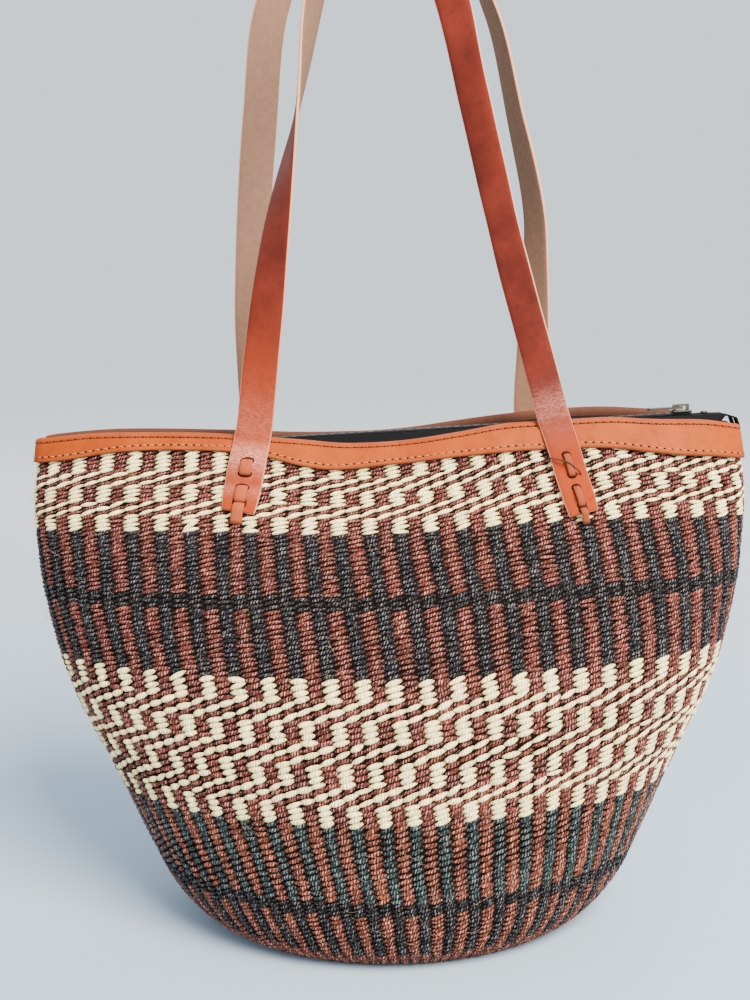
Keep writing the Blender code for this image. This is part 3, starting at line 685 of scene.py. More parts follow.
@dataclass(frozen=True)
class Leather:
    """Vegetable-tanned cowhide, cut with raw edges.

    The eye sees a tight cloudy grain, dull and paler where it is worn, with crazes where it bends under a
    pale painted sheen, over a paler fibrous flesh side.
    """

    name: str
    grain_light: str
    grain_dark: str
    flesh_light: str
    flesh_dark: str
    grain_roughness: float
    worn_colour: str = "#C4521F"
    # Painted sheen: a pale colour laid over the crazes
    crazed_colour: str = "#C98A7C"
    cut_colour: str = "#C98E70"
    cloud_width: float = 22 * MM
    cloud_range: tuple = (0.3, 0.7)
    crease_width: float = 3.5 * MM
    crease_range: tuple = (0.3, 0.5)
    # Painted shade: the colour darkens in the creases down to this share
    crease_shade: float = 0.8
    crease_depth: float = 0.12 * MM
    pore_width: float = 0.7 * MM
    pore_depth: float = 0.05 * MM
    # The wrinkles shape the crazes' bump and their painted sheen, which keeps a least share between them
    wrinkle_pitch: float = 0.6 * MM
    wrinkle_length: float = 2.0 * MM
    wrinkle_range: tuple = (0.42, 0.62)
    wrinkle_least: float = 0.25
    wrinkle_weight: float = 1.6
    worn_roughness: float = 0.7
    worn_specular_share: float = 0.25
    flesh_roughness: float = 0.85
    specular: float = 0.3

    def build(self) -> bpy.types.Material:
        """Builds the material; it reads leather_place (metres along, across, through) and shares from 0 to 1.

        Shares for wear, for the crazes with their painted sheen, for the flesh side and for cut edges fade
        one layer into the next. The crazes are a noise drawn out across the leather, kept where it is high.

        Returns:
            The material.
        """
        material, tree, shader = new_finish(self.name)
        at = add_node(tree, "Attribute", out="Vector", attribute_name="leather_place")
        names = ("worn", "crazed", "flesh", "cut")
        shares = (add_node(tree, "Attribute", out="Fac", attribute_name=name) for name in names)
        worn, crazed, flesh, cut = shares
        clouds = add_node(tree, "TexNoise", {"Vector": at, "Scale": 1 / self.cloud_width, "Detail": 4.0})
        pores = add_node(tree, "TexVoronoi", {"Vector": at, "Scale": 1 / self.pore_width}, feature="F1")
        uneven = {"Scale": 1 / self.crease_width, "Detail": 6.0, "Roughness": 0.65, "Distortion": 0.6}
        creases = add_node(tree, "TexNoise", {"Vector": at, **uneven})
        scale = (1 / self.wrinkle_pitch, 1 / self.wrinkle_length, 1 / self.wrinkle_length)
        drawn = add_node(tree, "Mapping", {"Vector": at, "Scale": scale})
        fine = {"Scale": 1.0, "Detail": 3.0, "Roughness": 0.6}
        wrinkles = add_node(tree, "TexNoise", {"Vector": drawn, **fine})
        cloudy = add_node(tree, "MapRange", (clouds, *self.cloud_range))
        creased = add_node(tree, "MapRange", (creases, *self.crease_range, self.crease_shade, 1.0))
        wrinkled = add_node(tree, "MapRange", (wrinkles, *self.wrinkle_range, self.wrinkle_least, 1.0))
        # Crazes with a painted sheen: this share mixes in the pale sheen colour and raises the folds
        crazes_and_sheen = add_node(tree, "Math", (wrinkled, crazed), operation="MULTIPLY")
        nap_colours = {6: linear(self.flesh_dark), 7: linear(self.flesh_light)}
        nap = add_node(tree, "Mix", {0: creases, **nap_colours}, 2, data_type="RGBA")
        tone = linear(self.grain_dark)
        for share, colour in ((cloudy, self.grain_light), (worn, self.worn_colour)):
            tone = add_node(tree, "Mix", {0: share, 6: tone, 7: linear(colour)}, 2, data_type="RGBA")
        # Painted shade in the creases
        tone = add_node(tree, "VectorMath", {0: tone, "Scale": creased}, operation="SCALE")
        layers = ((crazes_and_sheen, linear(self.crazed_colour)), (flesh, nap), (cut, linear(self.cut_colour)))
        for share, colour in layers:
            tone = add_node(tree, "Mix", {0: share, 6: tone, 7: colour}, 2, data_type="RGBA")
        rough = add_node(tree, "MapRange", (worn, 0.0, 1.0, self.grain_roughness, self.worn_roughness))
        rough = add_node(tree, "MapRange", (flesh, 0.0, 1.0, rough, self.flesh_roughness))
        worn_specular = self.specular * self.worn_specular_share
        gloss = add_node(tree, "MapRange", (worn, 0.0, 1.0, self.specular, worn_specular))
        folds = add_node(tree, "Math", (crazes_and_sheen, self.wrinkle_weight, creases), operation="MULTIPLY_ADD")
        bump = add_node(tree, "Bump", {"Height": folds, "Strength": 0.6, "Distance": self.crease_depth})
        pored = {"Height": pores, "Strength": 0.5, "Distance": self.pore_depth, "Normal": bump}
        bump = add_node(tree, "Bump", pored)
        plug(shader, {"Base Color": tone, "Roughness": rough, "Normal": bump, "Specular IOR Level": gloss})
        return material


@dataclass(frozen=True)
class PlainFinish:
    """A material of one kind all over, with a fine mottle: thread, tape, moulded teeth or metal."""

    name: str
    light: str
    dark: str
    roughness: float
    metallic: float = 0.0
    specular: float = 0.35
    grain_width: float = 0.5 * MM
    relief: float = 0.05 * MM

    def build(self) -> bpy.types.Material:
        """Builds the material; it reads Object coordinates in metres.

        Returns:
            The material.
        """
        material, tree, shader = new_finish(self.name)
        place = add_node(tree, "TexCoord", out="Object")
        mottle = add_node(tree, "TexNoise", {"Vector": place, "Scale": 1 / self.grain_width, "Detail": 3.0})
        colours = {6: linear(self.dark), 7: linear(self.light)}
        tone = add_node(tree, "Mix", {0: mottle, **colours}, 2, data_type="RGBA")
        bump = add_node(tree, "Bump", {"Height": mottle, "Strength": 0.6, "Distance": self.relief})
        plug(shader, {"Base Color": tone, "Normal": bump, "Roughness": self.roughness})
        plug(shader, {"Metallic": self.metallic, "Specular IOR Level": self.specular})
        return material


# Thick cowhide, dyed and waxed: deep red-brown with a low shine, rubbed to a dull orange-brown near the ends
STRAP_LEATHER = Leather(
    name="waxed_strap_leather",
    grain_light="#6E271A",
    grain_dark="#501A11",
    flesh_light="#846250",
    flesh_dark="#644A3A",
    grain_roughness=0.42,
    worn_colour="#8C3518",
    specular=0.14,
)
# Thin cowhide, dyed tan and rubbed to satin: an even warm orange-brown with hardly a highlight; its dark
# flesh colours also paint the shade on the inner leaf's grain
BINDING_LEATHER = Leather(
    name="satin_binding_leather",
    grain_light="#9C4412",
    grain_dark="#88370E",
    flesh_light="#5C3A2E",
    flesh_dark="#442B22",
    grain_roughness=0.5,
    pore_width=0.6 * MM,
    specular=0.06,
)
# Supple cowhide cut to thongs and handled: a soft tan, paler than the strap that it holds
LACE_LEATHER = Leather(
    name="soft_lacing_leather",
    grain_light="#9C4420",
    grain_dark="#7E3216",
    flesh_light="#A06442",
    flesh_dark="#80482C",
    grain_roughness=0.5,
    worn_colour="#9A4326",
    pore_width=0.5 * MM,
    specular=0.2,
)
# Waxed linen thread: matt twisted lines, one dark as the binding's shade, one light as its fibre
BROWN_THREAD = PlainFinish(name="waxed_brown_thread", light="#6A2E22", dark="#4A1E16", roughness=0.5)
TAN_THREAD = PlainFinish(name="waxed_tan_thread", light="#B4743F", dark="#8A5430", roughness=0.5)
DARK_THREAD = PlainFinish(name="loose_waxed_thread", light="#30130C", dark="#1C0A06", roughness=0.6)
# Painted shadow of a slot or needle hole: an almost black lens laid where the shade inside it falls
PAINTED_HOLE_SHADOW = PlainFinish(
    name="painted_hole_shadow", light="#3A160C", dark="#210B06", roughness=0.9, specular=0.1
)
# Single sisal fibres, drawn thicker than real ones so that they show: pale and dark stretches by turns
LOOSE_FIBRE = PlainFinish(
    name="loose_sisal_fibre", light="#C8A688", dark="#4A2A20", roughness=0.6, grain_width=9 * MM
)
# Woven polyester tape: black and dull, its weave too fine to show
BLACK_TAPE = PlainFinish(
    name="black_polyester_tape", light="#101012", dark="#070708", roughness=0.85, specular=0.1
)
# Teeth moulded in acetal: black with a smooth plastic shine
BLACK_TEETH = PlainFinish(name="moulded_acetal_teeth", light="#1C1C1F", dark="#111113", roughness=0.35)
# Zinc casting plated in aged brass: dark grey-brown metal with blotches and a broken shine
OLD_BRASS = PlainFinish(
    name="antique_brass_plate",
    light="#807866",
    dark="#3E3A32",
    roughness=0.34,
    metallic=1.0,
    grain_width=1.2 * MM,
)


class Zone(Enum):
    """How the two colours of a run of rows fall: by column, or as slanting lines."""

    COLUMNS = "columns"
    LINES = "lines"


class Dye(Enum):
    """Colours of the sisal."""

    CREAM = "#FFE8AA"
    BROWN = "#5C2C23"
    RUSSET = "#663525"
    CHARCOAL = "#16171B"
    BLACK = "#0E0F12"
    TEAL = "#212E2E"


@dataclass(frozen=True)
class RowBand:
    """A run of rows between two levels, with its colours on even and odd columns."""

    rows: int
    low: float
    high: float
    even: Dye
    odd: Dye
    zone: Zone = Zone.COLUMNS

    @property
    def step(self) -> float:
        """Gives the rise of one row in level."""
        return (self.high - self.low) / self.rows

    def colours(self, row: np.ndarray, column: np.ndarray) -> np.ndarray:
        """Gives the linear colours at rows and columns; a slanting line moves on one column with each row."""
        slanting = int(self.zone is Zone.LINES)
        pair = np.array([linear(self.even.value), linear(self.odd.value)])
        return pair[(column + slanting * (row + 1)) % 2]


@dataclass
class WovenBody:
    """The twined sisal: a ground shell with each stitch laid over it, as groups of rows."""

    surface: WallSurface
    columns: int = 110
    twist_share: float = 0.042
    place_spreads: tuple = (0.0009, 0.007)
    slant_share: float = 0.8
    slant_spread_deg: float = 5.0
    length_share: float = 0.72
    length_spread: float = 0.07
    brown_length: float = 1.07
    dark_length: float = 0.95
    cream_fatness: float = 0.53
    dyed_fatness: float = 0.46
    line_fatness: float = 0.40
    fatness_spread: float = 0.09
    crown: float = 0.35 * MM
    crown_spread: float = 0.12 * MM
    dyed_drop: float = 0.22 * MM
    line_drop: float = 0.5 * MM
    half_thickness: float = 0.85 * MM
    dive: float = 1.35 * MM
    around: int = 6
    first_angle: float = -2 * math.pi / 3
    stations: tuple = (-0.64, -0.24, 0.24, 0.64)
    fullness: tuple = (0.62, 1.0, 1.0, 0.62)
    # Painted shade on each stitch: darker towards its tips, on its sides and underneath
    end_shades: tuple = (0.28, 0.70, 1.0, 1.0, 0.70, 0.28)
    side_shade: float = 0.72
    under_shade: float = 0.16
    undyed_red: float = 0.5
    stitch_tones: tuple = (0.06, 0.16)
    batch_tones: tuple = (0.02, 0.10)
    tone_range: tuple = (0.55, 1.5)
    hue_spread: float = 0.03
    ground_depth: float = 1.3 * MM
    ground_levels: tuple = (14, 115)
    ground_middle: float = -0.97
    ground_rows: int = 113
    # Painted shade: the near black of the ground's outside, where the hollows between stitches are
    painted_hollow_shade: str = "#1C110D"
    middle_colour: str = "#5A3A2C"
    base_row_pitch: float = 2.8 * MM
    base_dyes: tuple = (Dye.RUSSET,) * 6 + (Dye.BLACK,) * 3 + (Dye.RUSSET,) * 6 + (Dye.CREAM,) * 2
    least_column: float = 4.2 * MM
    least_columns: int = 12
    hidden_drop: float = 5.0 * MM
    open_end_share: float = 0.014
    fibre_count: int = 520
    fibre_levels: tuple = (0.05, 0.92)
    fibre_lengths: tuple = (5 * MM, 16 * MM)
    fibre_lifts: tuple = (0.8 * MM, 4.0 * MM)
    fibre_parts: tuple = (0.45, 1.0)
    fibre_turn: float = 0.9
    fibre_rings: int = 7
    fibre_girth: float = 0.14 * MM
    fibre_thinning: float = 0.6
    fibre_root: float = 0.9 * MM
    fibre_seed: int = 97
    seed: int = 7

    def bands(self) -> dict[str, list[RowBand]]:
        """Gives the rows of each piece, from the top: block rows, slanting lines and stripes.

        Returns:
            Runs of rows, by the piece's name.
        """
        return {
            "weave_upper_band": [
                RowBand(4, 0.966, 1.0, Dye.CREAM, Dye.BROWN),
                *self.patterned(0.832, 0.966, (4, 3, 4, 3, 4)),
            ],
            "weave_upper_stripes": [
                RowBand(14, 0.724, 0.832, Dye.CHARCOAL, Dye.BROWN),
                RowBand(3, 0.699, 0.724, Dye.BLACK, Dye.BLACK),
                RowBand(14, 0.582, 0.699, Dye.CHARCOAL, Dye.BROWN),
            ],
            "weave_lower_band": self.patterned(0.318, 0.582, (4, 3, 4, 3, 4, 3, 4)),
            "weave_foot_stripes": [
                RowBand(14, 0.164, 0.318, Dye.TEAL, Dye.RUSSET),
                RowBand(3, 0.136, 0.164, Dye.BLACK, Dye.BLACK),
                RowBand(10, 0.045, 0.136, Dye.CHARCOAL, Dye.RUSSET),
                RowBand(6, 0.0, 0.045, Dye.RUSSET, Dye.RUSSET),
            ],
        }

    @staticmethod
    def patterned(low: float, high: float, counts: tuple[int, ...]) -> list[RowBand]:
        """Stacks cream and brown blocks and slanting lines in turn between two levels.

        Args:
            low: Lowest level.
            high: Highest level.
            counts: Rows in each run, blocks first, from the top.

        Returns:
            The runs of rows.
        """
        step = (high - low) / sum(counts)
        runs = []
        for number, count in enumerate(counts):
            zone = Zone.LINES if number % 2 else Zone.COLUMNS
            runs.append(RowBand(count, high - count * step, high, Dye.CREAM, Dye.BROWN, zone))
            high -= count * step
        return runs

    def stitches(self, bands: list[RowBand]) -> dict[str, np.ndarray]:
        """Places the stitches of some bands, one for each row and column.

        A column leans: its fraction falls back in proportion to the level. A slow noise moves both, the level
        less and less towards the edge.

        Args:
            bands: Runs of rows.

        Returns:
            Arrays of fraction, level, step in level, column width, whether it is in a line row, and colour.
        """
        column = np.arange(self.columns)
        parts = []
        for band in bands:
            row = np.arange(band.rows)[:, None]
            level = band.high - (row + 0.5) * band.step + 0 * column
            line = np.full(level.shape, band.zone is Zone.LINES)
            parts.append((level, np.full(level.shape, band.step), line, band.colours(row, column)))
        level, step, line, colour = (np.concatenate(part) for part in zip(*parts))
        to_side, to_level = self.place_spreads
        fraction = (column + 0.5) / self.columns + self.twist_share * (1 - level)
        fraction = fraction + to_side * wavy_noise(3, column / 9, level * 9)
        level = level + to_level * wavy_noise(4, column / 7, level * 5) * (1 - level)
        width = self.surface.edge_length(level) / self.columns
        places = {"fraction": fraction, "level": level, "step": step, "width": width, "line": line}
        return {**{key: value.ravel() for key, value in places.items()}, "colour": colour.reshape(-1, 4)}

    def base_stitches(self) -> dict[str, np.ndarray]:
        """Places the stitches of the flat base in rings, with half the columns where they get too narrow.

        Returns:
            Arrays as stitches gives them.
        """
        edge = float(self.surface.edge_length(0.0))
        rings = int(float(self.surface.rise(0.0, -0.5)) / self.base_row_pitch)
        rows = []
        for number in range(rings):
            level = -(number + 0.5) / rings
            length = edge * (1 + level)
            columns = self.columns
            while length / columns < self.least_column and columns > self.least_columns:
                columns = (columns + 1) // 2
            dye = self.base_dyes[number % len(self.base_dyes)]
            rows.append(
                {
                    "fraction": (np.arange(columns) + 0.5) / columns + self.twist_share,
                    "level": np.full(columns, level),
                    "step": np.full(columns, 1 / rings),
                    "width": np.full(columns, length / columns),
                    "line": np.zeros(columns, bool),
                    "colour": np.tile(linear(dye.value), (columns, 1)),
                }
            )
        return {key: np.concatenate([row[key] for row in rows]) for key in rows[0]}

    def visible(self, places: dict[str, np.ndarray]) -> dict[str, np.ndarray]:
        """Drops the stitches that the binding covers, except at the mouth's two open ends.

        Args:
            places: Arrays from stitches.

        Returns:
            The arrays of the others.
        """
        drop = (1 - places["level"]) * self.surface.form.height
        from_end = np.abs((places["fraction"] + 0.25) % 0.5 - 0.25)
        shown = (drop > self.hidden_drop) | (from_end < self.open_end_share)
        return {key: value[shown] for key, value in places.items()}

    @staticmethod
    def spindle(values: np.ndarray) -> np.ndarray:
        """Turns values on a grid of rings for each stitch to one row, its first and last ring to single tips.

        Args:
            values: Values by stitch, ring and place round the ring.

        Returns:
            Values by stitch and point, the two tips last.
        """
        middle = values[:, 1:-1].reshape(len(values), -1, *values.shape[3:])
        return np.concatenate([middle, values[:, :1, 0], values[:, -1:, 0]], axis=1)

    def lay(self, name: str, places: dict[str, np.ndarray], strand: bpy.types.Material) -> bpy.types.Object:
        """Builds the stitches of one piece as small closed bodies.

        A stitch is a row of four six-sided rings with a point at each end. It slants up to the right, seen
        from outside, by the angle whose tangent is row pitch over column width. It bulges outwards by half a
        sine and dives at its tips by the square of its length. Cream strands are the fullest, and those of
        brown in the slanting lines the thinnest and lowest.

        Args:
            name: The piece's name.
            places: Arrays from stitches or base_stitches.
            strand: The strands' material.

        Returns:
            The piece.
        """
        source = np.random.default_rng(self.seed + len(name))
        count = len(places["fraction"])
        natural = places["colour"][:, 0] > self.undyed_red
        brown = places["colour"][:, 0] > 2 * places["colour"][:, 2]
        line = places["line"]
        rise = self.surface.rise(places["fraction"], places["level"])
        pitch = places["step"] * rise
        steep = np.arctan2(pitch, places["width"]) * np.where(line, 1.0, self.slant_share)
        slant = (steep + np.radians(source.normal(0.0, self.slant_spread_deg, count)))[:, None, None]
        reach = np.where(natural, 1.0, np.where(brown, self.brown_length, self.dark_length))
        half_length = self.length_share * reach * places["width"]
        half_length = half_length * source.normal(1.0, self.length_spread, count)
        fatness = np.where(natural, self.cream_fatness, np.where(line, self.line_fatness, self.dyed_fatness))
        half_height = fatness * pitch * source.normal(1.0, self.fatness_spread, count)
        lowered = np.where(natural, 0.0, np.where(line, self.line_drop, self.dyed_drop))
        along = np.array([-1.0, *self.stations, 1.0])[:, None]
        full = np.array([0.0, *self.fullness, 0.0])[:, None]
        angle = circle(self.around) + self.first_angle
        a = half_length[:, None, None] * along
        b = half_height[:, None, None] * full * np.cos(angle)
        right = a * np.cos(slant) - b * np.sin(slant)
        up = a * np.sin(slant) + b * np.cos(slant)
        out = self.crown - self.half_thickness - self.dive * along**2 - lowered[:, None, None]
        out = out + self.half_thickness * full * np.sin(angle)
        out = out + source.normal(0.0, self.crown_spread, count)[:, None, None]
        edge = self.surface.edge_length(places["level"])[:, None, None]
        fraction = places["fraction"][:, None, None] + right / edge
        level = places["level"][:, None, None] + up / rise[:, None, None]
        points = self.surface.at(fraction, level, np.minimum(out, self.crown))
        points[..., 2] = np.maximum(points[..., 2], 0.0)
        points = self.spindle(points)
        faces = repeated(spindle_faces(len(self.stations), self.around), points.shape[1], count)
        # Painted shade: each point's colour is darkened towards the tips, on the sides and underneath
        lit = self.side_shade + (1 - self.side_shade) * np.clip(np.sin(angle), 0.0, 1.0)
        shade = np.array(self.end_shades)[:, None] * lit
        shade = self.spindle((shade * (1 - self.under_shade * np.clip(-np.cos(angle), 0.0, 1.0)))[None])
        values = self.dress(places, half_length, along, shade, source)
        return make_piece(name, points, faces, strand, **values)

    def dress(
        self,
        places: dict[str, np.ndarray],
        half_length: np.ndarray,
        along: np.ndarray,
        shade: np.ndarray,
        source: np.random.Generator,
    ) -> dict[str, np.ndarray]:
        """Works out each stitch's colour, its dyed share and where its points lie along and round the strand.

        A colour varies from stitch to stitch and by a slow noise, as the batches of dyed sisal do, and then
        the painted shade darkens it point by point.

        Args:
            places: Arrays from stitches or base_stitches.
            half_length: Half lengths of the stitches.
            along: Places of the rings, from -1 to 1.
            shade: Painted shade, as how much light reaches each point of a stitch.
            source: Seeded random numbers.

        Returns:
            Values of the points, by the names that the strands' material reads.
        """
        count = len(half_length)
        colour = places["colour"].copy()
        natural = colour[:, 0] > self.undyed_red
        batch = wavy_noise(5, places["fraction"] * 37, places["level"] * 11)
        tone = 1 + source.normal(0.0, 1.0, count) * np.where(natural, *self.stitch_tones)
        tone = tone + batch * np.where(natural, *self.batch_tones)
        colour[:, :3] *= np.clip(tone, *self.tone_range)[:, None]
        colour[:, :3] *= 1 + source.normal(0.0, self.hue_spread, (count, 3))
        # Painted shade multiplied into the colour of each point
        shaded = np.repeat(colour[:, None], shade.shape[1], axis=1)
        shaded[..., :3] *= shade[..., None]
        place = np.zeros((count, len(along), self.around, 3))
        start = source.uniform(0.0, 40.0, count)[:, None, None]
        place[..., 0] = start + half_length[:, None, None] / MM * along
        place[..., 1] = np.arange(self.around) / self.around
        place[..., 2] = source.uniform(0.0, 50.0, count)[:, None, None]
        return {
            "strand_colour_and_shade": np.clip(shaded, 0, 1),
            "dyed": np.repeat(1.0 - natural, shade.shape[1]),
            # The painted shade squared, which keeps painted glints off the shaded points
            "reach": np.tile(shade[0] ** 2, count),
            "strand_place": self.spindle(place),
        }

    def ground(self) -> bpy.types.Object:
        """Builds the closed shell under the stitches: the outer face, over the edge, and the inner face.

        Rings run from the middle of the base up the outer face, over the edge and down inside to the floor's
        middle, with a fan of triangles at both middles. Painted shade, near black, colours the outside, and
        the pattern's own colours the inside.

        Returns:
            The piece.
        """
        form = self.surface.form
        base, wall = self.ground_levels
        under = np.linspace(self.ground_middle, 0.0, base, endpoint=False)
        outer = np.concatenate([under, np.linspace(0.0, 1.0, wall)])
        level = np.concatenate([outer, outer[::-1]])
        inside = np.arange(len(level)) >= len(outer)
        depth = np.where(level < 0.0, form.floor, form.wall)
        height = np.where(inside, -depth, -self.ground_depth)
        point = np.arange(2 * self.columns)
        leaned = point / len(point) + self.twist_share * (1 - np.maximum(level, 0.0))[:, None]
        points = self.surface.at(leaned, level[:, None], height[:, None])
        points[..., 2] = np.maximum(points[..., 2], 0.0)
        middles = np.array([[0.0, 0.0, self.ground_depth], [0.0, 0.0, form.floor]])
        # Painted shade all over, then the pattern's own colours on the inside
        colours = np.tile(linear(self.painted_hollow_shade), (len(level), len(point), 1))
        for band in sum(self.bands().values(), []):
            rows = np.flatnonzero((level >= band.low) & (level < band.high) & inside)
            number = ((band.high - level[rows]) / band.step).astype(int)
            colours[rows] = band.colours(number[:, None], point // 2)
        weave = np.stack(np.broadcast_arrays(point / 2, (level * self.ground_rows)[:, None], 0.0), axis=-1)
        return make_piece(
            "weave_ground",
            np.concatenate([points.reshape(-1, 3), middles]),
            spindle_faces(len(level), len(point)),
            WovenGround().build(),
            ground_colour=np.concatenate([colours.reshape(-1, 4), [linear(self.middle_colour)] * 2]),
            weave_place=np.concatenate([weave.reshape(-1, 3), np.zeros((2, 3))]),
        )

    def fibres(self) -> bpy.types.Object:
        """Builds the loose fibres that stand off the weave, as thin three-sided tubes.

        A fibre starts inside a strand at a random heading, which turns evenly along it. Its height is part of
        half a sine, so that some end in the air and others lie down again, and it thins to its tip.

        Returns:
            The piece.
        """
        source = np.random.default_rng(self.fibre_seed)
        shape = (self.fibre_count, 1)
        rings = self.fibre_rings
        limits = ((0.0, 1.0), self.fibre_levels, self.fibre_lengths, self.fibre_lifts, self.fibre_parts)
        place, level, length, lift, part = (source.uniform(*pair, shape) for pair in limits)
        share = np.linspace(0.0, 1.0, rings)
        heading = source.uniform(0.0, 2 * math.pi, shape) + source.normal(0.0, self.fibre_turn, shape) * share
        right = np.cumsum(np.cos(heading), axis=1) * length / (rings - 1)
        up = np.cumsum(np.sin(heading), axis=1) * length / (rings - 1)
        out = lift * np.sin(math.pi * part * share) - self.fibre_root * (1 - share)
        fraction = place + right / self.surface.edge_length(level)
        up_level = level + up / self.surface.rise(place, level)
        line = self.surface.at(fraction, up_level, out)
        axes = tube_axes(line, self.surface.read(self.surface.normals, fraction, up_level))
        radius = self.fibre_girth / 2 * (1 - self.fibre_thinning * share)[:, None]
        points = sweep(line, *axes, radius * np.cos(circle(3)), radius * np.sin(circle(3)))
        faces = repeated(turned(tube_faces(rings, 3)), 3 * rings, self.fibre_count)
        return make_piece("loose_fibres", points, faces, LOOSE_FIBRE.build())

    def build(self) -> list[bpy.types.Object]:
        """Builds the ground and every group of stitches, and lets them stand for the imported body.

        Returns:
            The pieces.
        """
        strand = SisalStrand().build()
        pieces = [self.ground()]
        for name, bands in self.bands().items():
            pieces.append(self.lay(name, self.visible(self.stitches(bands)), strand))
        pieces.append(self.lay("weave_base", self.base_stitches(), strand))
        pieces.append(self.fibres())
        for piece in pieces:
            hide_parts("woven_body")
            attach(piece, "basket")
        return pieces


@dataclass
class Binding:
    """Leather folded over one half of the woven edge, sewn with two rows of thread."""

    surface: WallSurface
    side: Side
    leather: float = 1.6 * MM
    ease: float = 0.6 * MM
    gap: float = 0.3 * MM
    inner_drop: float = 12.5 * MM
    end_reach: float = 7.7 * MM
    stations: int = 340
    outer_points: int = 12
    top_points: int = 9
    top_power: float = 2 / 3
    lower_places: tuple = (
        *(-1.0, -0.87, -0.72, -0.42, -0.33, -0.25, -0.17, -0.1),
        *(0.03, 0.17, 0.31, 0.52, 0.69, 0.84, 1.0),
    )
    lower_drops_mm: tuple = (
        *(11.4, 11.0, 8.1, 7.6, 9.4, 12.4, 13.7, 12.8),
        *(11.2, 11.3, 12.7, 12.8, 14.8, 17.0, 16.9),
    )
    rear_drop: float = 14.0 * MM
    upper_row: float = 1.0 * MM
    lower_row_rise: float = 2.4 * MM
    sewn_dent: float = 0.28 * MM
    dent_width: float = 1.3 * MM
    unevenness: float = 0.22 * MM
    stitch_pitch: float = 4.0 * MM
    stitch_share: float = 0.66
    stitch_rings: int = 7
    stitch_around: int = 6
    tip_thinning: float = 0.75
    thread: float = 0.75 * MM
    thread_arch: float = 0.35 * MM
    # Painted shadows of the needle holes, as thin dark lenses
    hole_half_length: float = 0.75 * MM
    hole_half_height: float = 0.5 * MM
    hole_proud: float = 0.1 * MM
    hole_depth: float = 0.5 * MM
    hole_around: int = 8

    @property
    def edge_length(self) -> float:
        """Gives the length of the whole woven edge."""
        return float(self.surface.edge_length(1.0))

    def fractions(self, count: int, margin: float = 0.0) -> np.ndarray:
        """Gives even places along this half of the edge, short of its ends by a margin.

        Args:
            count: Number of places.
            margin: How much further than the strip's own ends they stay away from the half's ends.

        Returns:
            Fractions of the edge.
        """
        start = 0.5 if self.side is Side.FRONT else 0.0
        end = (self.end_reach + margin) / self.edge_length
        return np.linspace(start + end, start + 0.5 - end, count)

    def at_drop(self, fraction: np.ndarray, drop: np.ndarray, out: np.ndarray) -> np.ndarray:
        """Gives points at drops below the woven edge and heights over the wall."""
        return self.surface.at(fraction, 1 - drop / self.surface.form.height, out)

    def lower_drop(self, fraction: np.ndarray) -> np.ndarray:
        """Gives how far below the woven edge the outer leaf ends.

        Args:
            fraction: Fractions of the edge.

        Returns:
            Drops in metres.
        """
        x = self.surface.at(fraction, 1.0, 0.0)[..., 0] / self.surface.form.section(1.0)[0]
        if self.side is Side.REAR:
            return self.rear_drop + 0 * x
        return MM * smooth_curve(self.lower_places, self.lower_drops_mm, x)

    def path(self, fraction: np.ndarray) -> tuple[np.ndarray, np.ndarray]:
        """Gives the leather's middle line across the edge as (height over the wall, drop) for each fraction.

        The outer leaf rises straight, half a superellipse of the third power turns over the edge, and the
        inner leaf falls straight.

        Args:
            fraction: Fractions of the edge.

        Returns:
            Heights over the wall's outer face and drops below the woven edge, a row for each fraction.
        """
        outer = self.ease + self.leather / 2
        inner = -(self.surface.form.wall + outer)
        share = np.linspace(0.0, 1.0, self.outer_points)
        angle = np.linspace(0.0, math.pi, self.top_points + 2)[1:-1]
        top_out = (outer + inner) / 2 + (outer - inner) / 2 * signed_power(np.cos(angle), self.top_power)
        top_drop = -(self.gap + self.leather / 2) * signed_power(np.sin(angle), self.top_power)
        leaf = np.ones(self.outer_points)
        ones = np.ones((len(fraction), 1))
        out = ones * np.concatenate([leaf * outer, top_out, leaf * inner])
        low = self.lower_drop(fraction)[:, None] * (1 - share)
        return out, np.concatenate([low, ones * top_drop, ones * share * self.inner_drop], axis=1)

    def build_leather(self) -> bpy.types.Object:
        """Builds the folded strip: its middle line thickened to both faces, closed round its cut edges.

        The outer face is pulled in by the upper row of stitches and is a little uneven all over. The inner
        leaf's face is grain, but takes the flesh share from the top of the fold down, so that the dark flesh
        colours paint the shade that falls inside the mouth.

        Returns:
            The piece.
        """
        fraction = self.fractions(self.stations)
        out, drop = self.path(fraction)
        step_out = np.gradient(out, axis=1)
        step_down = np.gradient(drop, axis=1)
        half = self.leather / 2 / np.hypot(step_out, step_down)
        pulled = self.sewn_dent * bell(drop - self.upper_row, self.dent_width)
        uneven = self.unevenness * (0.5 + 0.5 * wavy_noise(11, fraction[:, None] * 60, drop * 90))
        dent = (pulled + uneven) * (out > 0)
        faces = [(out - step_down * half - dent, drop + step_out * half)]
        faces.append(((out + step_down * half)[:, ::-1], (drop - step_out * half)[:, ::-1]))
        ring_out, ring_drop = (np.concatenate(pair, axis=1) for pair in zip(*faces))
        rings, around = ring_out.shape
        length_along = fraction[:, None] * self.edge_length
        flesh = np.zeros(around)
        flesh[around // 2 :] = 1.0
        flesh[[0, around // 2 - 1]] = 0.5
        # The inner leaf's face takes the flesh share, so that the dark flesh colours paint the shade inside
        # the mouth on its grain
        flesh[self.outer_points + self.top_points // 2 + 1 : around // 2] = 1.0
        return make_piece(
            self.side.word + "_binding_leather",
            self.at_drop(fraction[:, None], ring_drop, ring_out),
            turned(tube_faces(rings, around)),
            BINDING_LEATHER.build(),
            leather_place=np.stack(np.broadcast_arrays(length_along, ring_drop, ring_out), axis=-1),
            flesh=np.tile(flesh, rings),
        )

